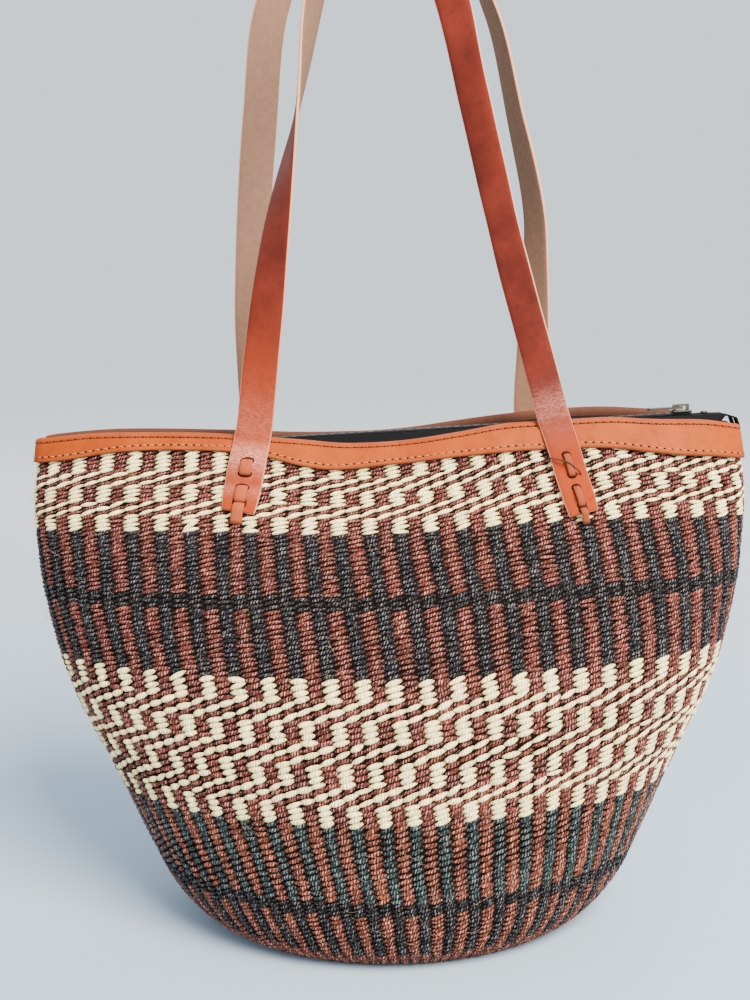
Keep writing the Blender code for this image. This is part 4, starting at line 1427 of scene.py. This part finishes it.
    def stitch_middles(self) -> np.ndarray:
        """Gives the places of the stitches of a row along the edge."""
        count = int((self.edge_length / 2 - 4 * self.end_reach) / self.stitch_pitch)
        return self.fractions(count, self.end_reach / 2)

    def row_drops(self, fraction: np.ndarray) -> tuple[np.ndarray, np.ndarray]:
        """Gives the drops below the edge of the upper row of stitches and of the lower one."""
        return np.full_like(fraction, self.upper_row), self.lower_drop(fraction) - self.lower_row_rise

    def build_thread(self, row: str, drop: np.ndarray, finish: PlainFinish) -> bpy.types.Object:
        """Builds one row of stitches over the outer leaf, each a small arch of thread that thins to its ends.

        Args:
            row: Word for the row.
            drop: Drop below the woven edge of each stitch.
            finish: The thread's finish.

        Returns:
            The piece.
        """
        half = self.stitch_pitch * self.stitch_share / 2 / self.edge_length
        along = np.linspace(-1.0, 1.0, self.stitch_rings)[:, None]
        angle = circle(self.stitch_around)
        radius = self.thread / 2 * np.sqrt(1 - self.tip_thinning * along**2)
        base = self.ease + self.leather - self.sewn_dent + self.thread_arch * (1 - along**2)
        points = self.at_drop(
            self.stitch_middles()[:, None, None] + half * along,
            drop[:, None, None] + radius * np.cos(angle),
            base + radius * np.sin(angle),
        )
        faces = turned(tube_faces(*points.shape[1:3]))
        faces = repeated(faces, self.stitch_rings * self.stitch_around, len(points))
        return make_piece(f"{self.side.word}_binding_{row}_thread", points, faces, finish.build())

    def build_hole_shadows(self) -> bpy.types.Object:
        """Builds painted shadows of the needle holes between the stitches of both rows, each a thin dark
        closed lens.

        Returns:
            The piece.
        """
        middle = self.stitch_middles()
        gaps = (middle[1:] + middle[:-1]) / 2
        fraction = np.tile(gaps, 2)[:, None]
        drop = np.concatenate(self.row_drops(gaps))[:, None]
        angle = circle(self.hole_around)
        along = self.hole_half_length * np.cos(angle) / self.edge_length
        down = self.hole_half_height * np.sin(angle)
        face = self.ease + self.leather
        ring = self.at_drop(fraction + along, drop + down, face - self.hole_proud)
        ends = [self.at_drop(fraction, drop, face + lift) for lift in (self.hole_proud, -self.hole_depth)]
        points = np.concatenate([ring, *ends], axis=1)
        faces = repeated(spindle_faces(1, self.hole_around), points.shape[1], len(points))
        return make_piece(self.side.word + "_binding_hole_shadows", points, faces, PAINTED_HOLE_SHADOW.build())

    def build(self) -> list[bpy.types.Object]:
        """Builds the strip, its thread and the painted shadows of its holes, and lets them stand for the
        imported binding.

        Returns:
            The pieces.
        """
        upper, lower = self.row_drops(self.stitch_middles())
        pieces = [
            self.build_leather(),
            self.build_thread("upper", upper, BROWN_THREAD),
            self.build_thread("lower", lower, TAN_THREAD),
            self.build_hole_shadows(),
        ]
        for piece in pieces:
            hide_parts(self.side.word + "_binding")
            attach(piece, "basket")
        return pieces


@dataclass
class Strap:
    """One length of strap leather: two laced ends and the loop between them, and the thongs that hold it.

    A leg is 0 on the left and 1 on the right, and pairs of values are for the left and the right one.
    """

    form: BasketForm
    side: Side
    places: tuple[float, float]
    leans: tuple[float, float]
    below_bindings: tuple[float, float]
    loop_rise: float
    across_shares: tuple[float, ...]
    up_shares: tuple[float, ...]
    twists_deg: tuple[float, ...]
    width: float = 20 * MM
    leather: float = 2.6 * MM
    binding_height: float = 19 * MM
    binding_leather: float = 1.6 * MM
    ease: float = 0.6 * MM
    gap: float = 0.3 * MM
    ramp_drops: tuple[float, float] = (14.0 * MM, 26.0 * MM)
    stand_up: float = 10.0 * MM
    hinge_rise: float = 3.0 * MM
    fold_start: float = 4 * MM
    fold_end: float = 12 * MM
    end_taper: float = 0.92
    end_taper_length: float = 9 * MM
    width_shares: tuple[float, float] = (1.0, 1.0)
    width_places: tuple[float, ...] = (0.0, 0.3, 0.7, 1.0)
    width_wave: float = 0.012
    width_wave_length: float = 50 * MM
    section_across: tuple[float, ...] = (-0.94, -0.7, -0.35, 0.0, 0.35, 0.7, 0.94, 0.985, 1.0, 0.985)
    section_through: tuple[float, ...] = (0.66, 0.86, 0.97, 1.0, 0.97, 0.86, 0.66, 0.45, 0.0, -0.45)
    section_flesh: tuple[float, ...] = (0.0, 0.0, 0.0, 0.0, 0.0, 0.0, 0.0, 0.1, 0.5, 0.9)
    cut_from: float = 0.98
    extra_laps: tuple[float, float] = (0.0, 0.0)
    worn_reaches: tuple[float, float] = (80 * MM, 80 * MM)
    wear: float = 1.5
    crazings_and_sheens: tuple[tuple[float, float, float], ...] = ()
    line_ease: float = 2.5 * MM
    turn_ease: float = 9 * MM
    lap_stations: int = 46
    upright_stations: int = 3
    loop_stations: int = 300
    lace_widths: tuple[float, float] = (5.0 * MM, 5.0 * MM)
    lace_leather: float = 1.7 * MM
    lace_roundness: float = 0.7
    lace_around: int = 12
    lace_bend: float = 1.5 * MM
    bend_share: float = 0.45
    bend_stations: int = 7
    lace_tail: float = 8 * MM
    lace_bulge: float = 0.9 * MM
    end_press: float = 0.8
    lace_drops_mm: tuple[tuple[float, ...], ...] = ((14.0, 21.5, 27.5, 35.0, 37.0, 46.5),) * 2
    lace_finishes: tuple[Leather, Leather] = (LACE_LEATHER, LACE_LEATHER)
    lace_flesh: float = 0.25
    # Painted shadows of the slots, as thin dark lenses on the strap
    slot_rim: float = 0.7 * MM
    slot_half_height: float = 1.9 * MM
    slot_proud: float = 0.14 * MM
    slot_around: int = 20
    loose_thread: tuple[tuple[float, float, float], ...] = ()
    loose_thread_girth: float = 0.8 * MM
    loose_thread_rings: int = 40
    loose_thread_around: int = 8

    def lap(self, leg: int) -> float:
        """Gives the length of a leg below the woven edge."""
        return self.binding_height + self.below_bindings[leg] + self.extra_laps[leg]

    def edge(self, leg: int) -> float:
        """Gives the height of the woven edge at a leg."""
        return self.form.mouth_z(self.places[leg], self.side.value)

    def fold_z(self) -> float:
        """Gives the height of the fold where the loop turns."""
        return max(self.edge(0), self.edge(1)) + self.binding_leather + self.hinge_rise

    def outer_y(self) -> float:
        """Gives y of the outer face where the strap stands up beside the mouth."""
        reach = self.form.section(1.0)[1] + self.ease + self.binding_leather + self.gap + self.leather
        return self.side.value * float(reach)

    def upright_y(self) -> float:
        """Gives y of the middle line where the strap stands up."""
        return self.outer_y() - self.side.value * self.leather / 2

    def upright_x(self, leg: int, z: np.ndarray) -> np.ndarray:
        """Gives x of a leg's middle line at heights over the woven edge."""
        return self.places[leg] - self.leans[leg] * (z - self.edge(leg))

    def on_wall(self, leg: int, drop: np.ndarray, across: np.ndarray) -> np.ndarray:
        """Gives points of the wall under a leg.

        Args:
            leg: The leg.
            drop: Drops below the woven edge.
            across: Offsets across the strap.

        Returns:
            The points.
        """
        drop, across = np.broadcast_arrays(drop, across)
        lean = self.leans[leg]
        x = self.places[leg] + lean * drop + across
        z = self.edge(leg) - drop + lean * across * np.maximum(drop, 0.0) / self.lap(leg)
        return np.stack([x, self.form.wall_y(x, z, 0.0, self.side.value), z], axis=-1)

    def wall_axes(self, leg: int, drop: np.ndarray) -> tuple[np.ndarray, np.ndarray]:
        """Gives the directions across a leg and out of the wall, from points of the wall a little apart.

        Args:
            leg: The leg.
            drop: Drops below the woven edge.

        Returns:
            The two directions at each drop.
        """
        half = self.width / 2
        across = unit(self.on_wall(leg, drop, half) - self.on_wall(leg, drop, -half))
        down = unit(self.on_wall(leg, drop + half / 2, 0.0) - self.on_wall(leg, drop, 0.0))
        outward = unit(np.cross(across, down))
        return across, outward * np.sign(outward[..., 1:2] * self.side.value)

    def stand(self, drop: np.ndarray) -> np.ndarray:
        """Gives the height of the strap's middle line over the weave, with a smooth step at the binding."""
        climb = smooth_step((self.ramp_drops[1] - drop) / (self.ramp_drops[1] - self.ramp_drops[0]))
        return self.gap + (self.ease + self.binding_leather) * climb + self.leather / 2

    def leg_stations(self, leg: int) -> tuple[np.ndarray, np.ndarray, np.ndarray]:
        """Gives the middle line, across direction and face direction of a laced end, from its lower end up.

        The strap lies on the weave, climbs over the binding on a smooth step and stands up to the fold.

        Args:
            leg: The leg.

        Returns:
            Places, across directions and face directions.
        """
        drop = np.linspace(self.lap(leg), 0.0, self.lap_stations)
        across, outward = self.wall_axes(leg, drop)
        middle = self.on_wall(leg, drop, 0.0) + outward * self.stand(drop)[:, None]
        face = np.array([0.0, self.side.value, 0.0])
        blend = smooth_step(1 - drop / self.stand_up)
        middle[:, 1] = middle[:, 1] * (1 - blend) + self.upright_y() * blend
        outward = unit(outward * (1 - blend[:, None]) + face * blend[:, None])
        count = self.upright_stations
        z = np.linspace(self.edge(leg), self.fold_z(), count + 2)[1:-1]
        upright = np.stack([self.upright_x(leg, z), np.full(count, self.upright_y()), z], axis=-1)
        turn = -self.side.value if leg == 0 else self.side.value
        across = np.concatenate([across, np.tile([1.0, 0.0, 0.0], (count, 1))]) * turn
        return np.concatenate([middle, upright]), across, np.concatenate([outward, np.tile(face, (count, 1))])

    def stations(self) -> tuple[np.ndarray, np.ndarray, np.ndarray]:
        """Gives the whole strap's middle line, across and face directions, from left end to right end.

        The loop lies in an upright plane; its face turns about the line by the twist. The line and its across
        direction are then smoothed, but the line's two ends stay in place.

        Returns:
            Places, across directions and face directions.
        """
        fold = self.fold_z()
        left, right = (self.upright_x(leg, fold) for leg in (0, 1))
        knots = np.linspace(0.0, 1.0, len(self.across_shares))
        at = np.linspace(0.0, 1.0, self.loop_stations)
        curves = (self.across_shares, self.up_shares, self.twists_deg)
        to_side, rise, twist = (smooth_curve(knots, values, at) for values in curves)
        x = (left + right) / 2 + (right - left) / 2 * to_side
        z = fold + self.loop_rise * rise
        twist = np.radians(twist)[:, None]
        along = unit(np.stack([np.gradient(x), np.zeros_like(x), np.gradient(z)], axis=-1))
        in_plane = np.stack([-along[:, 2], np.zeros_like(x), along[:, 0]], axis=-1)
        face = np.cos(twist) * np.array([0.0, self.side.value, 0.0]) + np.sin(twist) * in_plane
        y = np.full_like(x, self.upright_y())
        loop = (np.stack([x, y, z], axis=-1), unit(np.cross(along, face)), face)
        parts = zip(self.leg_stations(0), loop, self.leg_stations(1))
        middle, across, face = (np.concatenate([a, b, c[::-1]]) for a, b, c in parts)
        run = line_run(middle)
        held = bell(np.minimum(run, run[-1] - run), self.line_ease)[:, None]
        middle = soften(middle, run, self.line_ease) * (1 - held) + middle * held
        tangent = unit(np.gradient(middle, axis=0))
        across = soften(across, run, self.turn_ease)
        across = unit(across - tangent * (across * tangent).sum(axis=1, keepdims=True))
        facing = unit(np.cross(across, tangent))
        return middle, across, facing * np.sign((facing * face).sum(axis=1, keepdims=True))

    def build_strap(self) -> bpy.types.Object:
        """Builds the strap as its section carried along the stations, narrowed a little at the cut ends.

        The section is half given, and the other half is the same turned round. The strap is worn towards both
        ends. Each place, reach and strength listed for the crazes gives a bell of crazes under a pale painted
        sheen. A place counts from the left end, or back from the right end where it is negative.

        Returns:
            The piece.
        """
        middle, across, face = self.stations()
        run = line_run(middle)
        from_end = np.minimum(run, run[-1] - run)
        narrow = self.end_taper + (1 - self.end_taper) * np.clip(from_end / self.end_taper_length, 0.0, 1.0)
        narrow = narrow * smooth_curve(self.width_places, np.repeat(self.width_shares, 2), run / run[-1])
        wave = 1 + self.width_wave * wavy_noise(21, run / self.width_wave_length)
        half = (self.width / 2 * narrow * wave)[:, None]
        shares = np.array([self.section_across, self.section_through])
        to_side, to_face = np.concatenate([shares, -shares], axis=1)
        flesh = np.concatenate([self.section_flesh, 1 - np.array(self.section_flesh)])
        wide, thick = np.broadcast_arrays(half * to_side, self.leather / 2 * to_face)
        rings, around = wide.shape
        worn = np.clip(self.wear - from_end / np.where(run < run[-1] / 2, *self.worn_reaches), 0.0, 1.0)
        # Crazes under a painted sheen, as bells along the strap
        crazed = np.zeros_like(run)
        for place, width, strength in self.crazings_and_sheens:
            distance = run - (place if place > 0 else run[-1] + place)
            crazed = np.maximum(crazed, strength * bell(distance, width))
        return make_piece(
            self.side.word + "_strap_leather",
            sweep(middle, across, face, wide, thick),
            tube_faces(rings, around),
            STRAP_LEATHER.build(),
            leather_place=np.stack(np.broadcast_arrays(run[:, None], wide, thick), axis=-1),
            flesh=np.tile(flesh, rings),
            cut=np.tile(np.abs(to_side) > self.cut_from, rings),
            worn=np.repeat(worn, around),
            crazed=np.repeat(crazed, around),
        )

    def lace_route(self, leg: int) -> np.ndarray:
        """Gives a thong's middle line as (drop, height over the wall) through its six slots.

        It bulges over the strap between the slots of each pair, and after the fifth it runs over the strap's
        end and into the weave.

        Args:
            leg: The leg.

        Returns:
            The line's corners.
        """
        first, second, third, fourth, fifth, last = np.array(self.lace_drops_mm[leg]) * MM
        inside = -(self.form.wall + self.gap + self.ease + self.binding_leather + self.lace_leather / 2)
        on_strap = (self.leather + self.lace_leather) / 2
        lifted = on_strap + self.lace_bulge
        route = [(first + self.lace_tail, inside), (first, inside)]
        for start, end, after in ((first, second, third), (third, fourth, fifth)):
            step = (end - start) / 4
            over = ((start, on_strap), (start + step, lifted), (end - step, lifted), (end, on_strap))
            route += [(drop, self.stand(drop) + lift) for drop, lift in over]
            route += [(end, inside), (after, inside)]
        over_end = self.lap(leg) + self.lace_leather
        route += [
            (fifth, self.stand(fifth) + on_strap),
            ((fifth + over_end) / 2, self.stand(fifth) + lifted),
            (over_end, self.stand(over_end) + on_strap * self.end_press),
            (last, self.lace_leather),
            (last, inside),
            (last + self.lace_tail, inside),
        ]
        return np.array(route)

    def build_lace(self, leg: int) -> bpy.types.Object:
        """Builds one thong: a soft rounded band carried along its route, with each corner a parabola.

        Args:
            leg: The leg.

        Returns:
            The piece.
        """
        drop, height = self.lace_route(leg).T
        lap = self.lap(leg)
        outward = self.wall_axes(leg, np.minimum(drop, lap))[1]
        points = self.on_wall(leg, drop, 0.0) + outward * height[:, None]
        corner = points[1:-1]
        before, after = points[:-2] - corner, points[2:] - corner
        shorter = np.minimum(np.linalg.norm(before, axis=1), np.linalg.norm(after, axis=1))
        reach = np.minimum(self.lace_bend, self.bend_share * shorter)[:, None]
        enter, leave = corner + unit(before) * reach, corner + unit(after) * reach
        t = np.linspace(0.0, 1.0, self.bend_stations)[:, None]
        bends = (1 - t) ** 2 * enter[:, None] + 2 * t * (1 - t) * corner[:, None] + t**2 * leave[:, None]
        line = np.concatenate([points[:1], bends.reshape(-1, 3), points[-1:]])
        across = self.wall_axes(leg, np.array([lap / 2]))[0][0]
        normal = tube_axes(line, across)[0]
        angle = circle(self.lace_around)
        wide = signed_power(np.cos(angle), self.lace_roundness) * self.lace_widths[leg] / 2
        thick = signed_power(np.sin(angle), self.lace_roundness) * self.lace_leather / 2
        solid = sweep(line, across, normal, wide, thick)
        count = solid.shape[0] * solid.shape[1]
        return make_piece(
            f"{self.side.word}_{('left', 'right')[leg]}_thong",
            solid,
            tube_faces(*solid.shape[:2]),
            self.lace_finishes[leg].build(),
            leather_place=np.stack(np.broadcast_arrays(line_run(line)[:, None], wide, thick), axis=-1),
            flesh=np.full(count, self.lace_flesh),
            worn=np.ones(count),
        )

    def on_strap(self, leg: int, drop: np.ndarray, across: np.ndarray, lift: np.ndarray) -> np.ndarray:
        """Gives points over a laced end's face.

        Args:
            leg: The leg.
            drop: Drops below the woven edge.
            across: Offsets across the strap.
            lift: Heights over its face.

        Returns:
            The points.
        """
        drop, across, lift = np.broadcast_arrays(drop, across, lift)
        height = self.stand(drop) + self.leather / 2 + lift
        return self.on_wall(leg, drop, across) + self.wall_axes(leg, drop)[1] * height[..., None]

    def build_slot_shadows(self, leg: int) -> bpy.types.Object:
        """Builds painted shadows in the mouths of a laced end's slots, as thin dark closed lenses, part
        hidden by the thong.

        Args:
            leg: The leg.

        Returns:
            The piece.
        """
        drops = np.array(self.lace_drops_mm[leg][:-1])[:, None] * MM
        angle = circle(self.slot_around)
        wide = (self.lace_widths[leg] / 2 + self.slot_rim) * np.cos(angle)
        tall = self.slot_half_height * np.sin(angle)
        ring = self.on_strap(leg, drops + tall, wide, self.slot_proud / 4)
        middles = [self.on_strap(leg, drops, 0.0, lift) for lift in (self.slot_proud, -self.leather / 2)]
        points = np.concatenate([ring, *middles], axis=1)
        faces = repeated(spindle_faces(1, self.slot_around), points.shape[1], len(drops))
        if self.side is Side.REAR:
            faces = turned(faces)
        name = f"{self.side.word}_{('left', 'right')[leg]}_slots"
        return make_piece(name, points, faces, PAINTED_HOLE_SHADOW.build())

    def build_loose_thread(self) -> bpy.types.Object:
        """Builds the thread end that lies over the right laced end, as a tube on a smooth line.

        Returns:
            The piece.
        """
        knots = np.linspace(0.0, 1.0, len(self.loose_thread))
        at = np.linspace(0.0, 1.0, self.loose_thread_rings)
        drop, share, lift = (smooth_curve(knots, values, at) for values in np.array(self.loose_thread).T)
        line = self.on_strap(1, drop * MM, share * self.width, lift * MM)
        axes = tube_axes(line, self.wall_axes(1, drop * MM)[1])
        angle = circle(self.loose_thread_around)
        radius = self.loose_thread_girth / 2
        points = sweep(line, *axes, radius * np.cos(angle), radius * np.sin(angle))
        faces = turned(tube_faces(len(at), len(angle)))
        return make_piece(self.side.word + "_loose_thread", points, faces, DARK_THREAD.build())

    def build(self) -> list[bpy.types.Object]:
        """Builds the strap and its two thongs.

        Returns:
            The pieces.
        """
        node = self.side.word + "_strap"
        strap = self.build_strap()
        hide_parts(node + "_left_end", node + "_right_end", node + "_loop")
        start = (0.0, self.outer_y(), self.fold_z() - self.fold_start)
        end = (0.0, self.outer_y(), self.fold_z() + self.fold_end)
        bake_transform(strap)
        pieces = [strap]
        for leg, word in enumerate(("left", "right")):
            thong = self.build_lace(leg)
            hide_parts(f"{node}_{word}_lacing")
            pieces += [thong, self.build_slot_shadows(leg)]
        if self.loose_thread:
            pieces.append(self.build_loose_thread())
        for piece in pieces[1:]:
            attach(piece, "basket")
        return pieces


@dataclass
class Zip:
    """The zip's tapes, teeth, slider, pull and stops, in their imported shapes."""

    finishes: tuple[tuple[PlainFinish, tuple[str, ...]], ...] = (
        (BLACK_TAPE, ("front_zip_tape", "rear_zip_tape")),
        (BLACK_TEETH, ("front_zip_teeth", "rear_zip_teeth")),
        (OLD_BRASS, ("zip_slider", "zip_pull", "zip_stop_left", "zip_stop_right")),
    )

    def build(self) -> list[bpy.types.Object]:
        """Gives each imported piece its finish.

        Returns:
            The pieces.
        """
        pieces = []
        for finish, names in self.finishes:
            for name in names:
                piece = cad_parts[name]
                piece.data.materials.clear()
                piece.data.materials.append(finish.build())
                pieces.append(piece)
        return pieces


@dataclass
class Studio:
    """A pale floor, soft light and the camera at the photograph's place."""

    camera_place: tuple[float, float, float] = (-0.008, -0.600, 0.3424)
    pitch_deg: float = 9.04
    roll_deg: float = -1.2
    focal_pixels: float = 1050.0
    frame_pixels: float = 1000.0
    sensor: float = 36.0
    near_clip: float = 0.01
    floor_reach: float = 6.0
    floor_drop: float = 0.2 * MM
    floor_colour: str = "#A6B9CC"
    floor_far_colour: str = "#FFFFFF"
    floor_fade: tuple[float, float] = (0.35, 2.2)
    floor_roughness: float = 0.9
    air_colour: str = "#D4DEE5"
    air_strength: float = 1.6
    aim: tuple[float, float, float] = (0.0, 0.0, 0.2)
    lights: tuple[tuple[str, tuple[float, float, float], float, float, str], ...] = (
        ("key_light", (0.6, -1.05, 1.42), 0.8, 108.0, "#FFF5E6"),
        ("fill_light", (1.3, -0.7, 0.9), 1.2, 8.0, "#EEF3FF"),
        ("rear_light", (0.4, 1.2, 1.4), 1.2, 8.0, "#FFFFFF"),
    )

    def build_camera(self) -> None:
        """Places the camera; its lens is the focal length in pixels over the frame's long side."""
        data = bpy.data.cameras.new("camera")
        data.sensor_width = self.sensor
        data.lens = self.sensor * self.focal_pixels / self.frame_pixels
        data.clip_start = self.near_clip
        camera = bpy.data.objects.new("camera", data)
        bpy.context.scene.collection.objects.link(camera)
        tilt = Matrix.Rotation(math.radians(90 - self.pitch_deg), 4, "X")
        roll = Matrix.Rotation(math.radians(self.roll_deg), 4, "Z")
        camera.matrix_world = Matrix.Translation(self.camera_place) @ tilt @ roll
        bpy.context.scene.camera = camera

    def build_floor(self) -> None:
        """Lays the floor just under the basket, as matt painted board.

        The eye sees a soft shadow and contact, and no horizon, since the colour pales with the distance from
        the basket until it has the air's own tone.
        """
        material, tree, shader = new_finish("matt_painted_board")
        place = add_node(tree, "TexCoord", out="Object")
        distance = add_node(tree, "VectorMath", (place,), "Value", operation="LENGTH")
        fade = add_node(tree, "MapRange", (distance, *self.floor_fade))
        colours = {6: linear(self.floor_colour), 7: linear(self.floor_far_colour)}
        tone = add_node(tree, "Mix", {0: fade, **colours}, 2, data_type="RGBA")
        plug(shader, {"Base Color": tone, "Roughness": self.floor_roughness})
        corners = np.array([(-1, -1, 0), (1, -1, 0), (1, 1, 0), (-1, 1, 0)]) * self.floor_reach
        corners = corners - (0.0, 0.0, self.floor_drop)
        make_piece("floor", corners, [np.array([[0, 1, 2, 3]])], material)

    def add_light(self, name: str, place: tuple, size: float, power: float, colour: str) -> None:
        """Adds a square soft light that faces the basket.

        Args:
            name: The light's name.
            place: Where it hangs.
            size: Its side.
            power: Its power in watts.
            colour: Its hex colour.
        """
        data = bpy.data.lights.new(name, "AREA")
        data.size = size
        data.energy = power
        data.color = linear(colour)[:3]
        light = bpy.data.objects.new(name, data)
        bpy.context.scene.collection.objects.link(light)
        light.location = place
        light.rotation_euler = (Vector(self.aim) - Vector(place)).to_track_quat("-Z", "Y").to_euler()

    def build(self) -> None:
        """Builds the camera, the floor, the air's light and the soft lights."""
        self.build_camera()
        self.build_floor()
        world = bpy.data.worlds.new("air")
        bpy.context.scene.world = world
        world.use_nodes = True
        air = world.node_tree.nodes["Background"]
        plug(air, {"Color": linear(self.air_colour), "Strength": self.air_strength})
        for light in self.lights:
            self.add_light(*light)


def main() -> None:
    """Builds the basket's pieces in order and reports each one."""
    logging.basicConfig(level=logging.INFO, format="%(message)s")
    form = BasketForm()
    surface = WallSurface(form)
    Studio().build()
    front_strap = Strap(
        form,
        Side.FRONT,
        places=(-0.0745, 0.0915),
        leans=(-0.2, 0.265),
        below_bindings=(17.2 * MM, 25.6 * MM),
        loop_rise=0.262,
        across_shares=(-1.0, -0.93, -0.805, -0.64, -0.51, -0.34, -0.12, 0.11, 0.32, 0.48, 0.69, 0.88, 1.0),
        up_shares=(0.0, 0.16, 0.40, 0.64, 0.85, 0.965, 1.0, 0.965, 0.85, 0.64, 0.36, 0.14, 0.0),
        twists_deg=(0.0, 12.0, 42.0, 88.0, 116.0, 100.0, 62.0, 20.0, -16.0, -28.0, -26.0, -18.0, 0.0),
        width_shares=(1.0, 0.88),
        extra_laps=(1.5 * MM, 2.5 * MM),
        worn_reaches=(80 * MM, 48 * MM),
        # Crazes under a painted sheen; the last, at the right end's bend, paints a highlight over fine crazes
        crazings_and_sheens=(
            (31 * MM, 9 * MM, 0.7),
            (12 * MM, 4 * MM, 0.3),
            (50 * MM, 16 * MM, 0.2),
            (-62 * MM, 10 * MM, 0.4),
        ),
        lace_widths=(6.4 * MM, 3.8 * MM),
        lace_drops_mm=((12.6, 19.0, 25.2, 32.4, 33.8, 42.6), (17.7, 27.5, 34.0, 43.0, 45.0, 51.5)),
        lace_finishes=(LACE_LEATHER, STRAP_LEATHER),
        loose_thread=(
            (18.2, -0.53, -1.2),
            (19.0, -0.38, 1.2),
            (21.9, -0.04, 2.9),
            (25.2, 0.12, 2.9),
            (28.0, 0.24, 0.3),
        ),
    )
    rear_strap = Strap(
        form,
        Side.REAR,
        places=(-0.078, 0.086),
        leans=(-0.05, 0.06),
        below_bindings=(23.5 * MM, 23.5 * MM),
        loop_rise=0.272,
        across_shares=(-1.0, -1.01, -0.975, -0.895, -0.80, -0.56, -0.12, 0.42, 0.715, 0.88, 1.035, 1.02, 1.0),
        up_shares=(0.0, 0.16, 0.38, 0.62, 0.82, 0.955, 1.0, 0.955, 0.82, 0.62, 0.36, 0.14, 0.0),
        twists_deg=(0.0, 2.0, 6.0, 12.0, 22.0, 50.0, 84.0, 96.0, 80.0, 72.0, 58.0, 30.0, 0.0),
    )
    bindings = [Binding(surface, side) for side in Side]
    for builder in (WovenBody(surface), *bindings, front_strap, rear_strap, Zip()):
        for piece in builder.build():
            LOG.info("%s: %d faces", piece.name, len(piece.data.polygons))


if __name__ == "__main__":
    main()
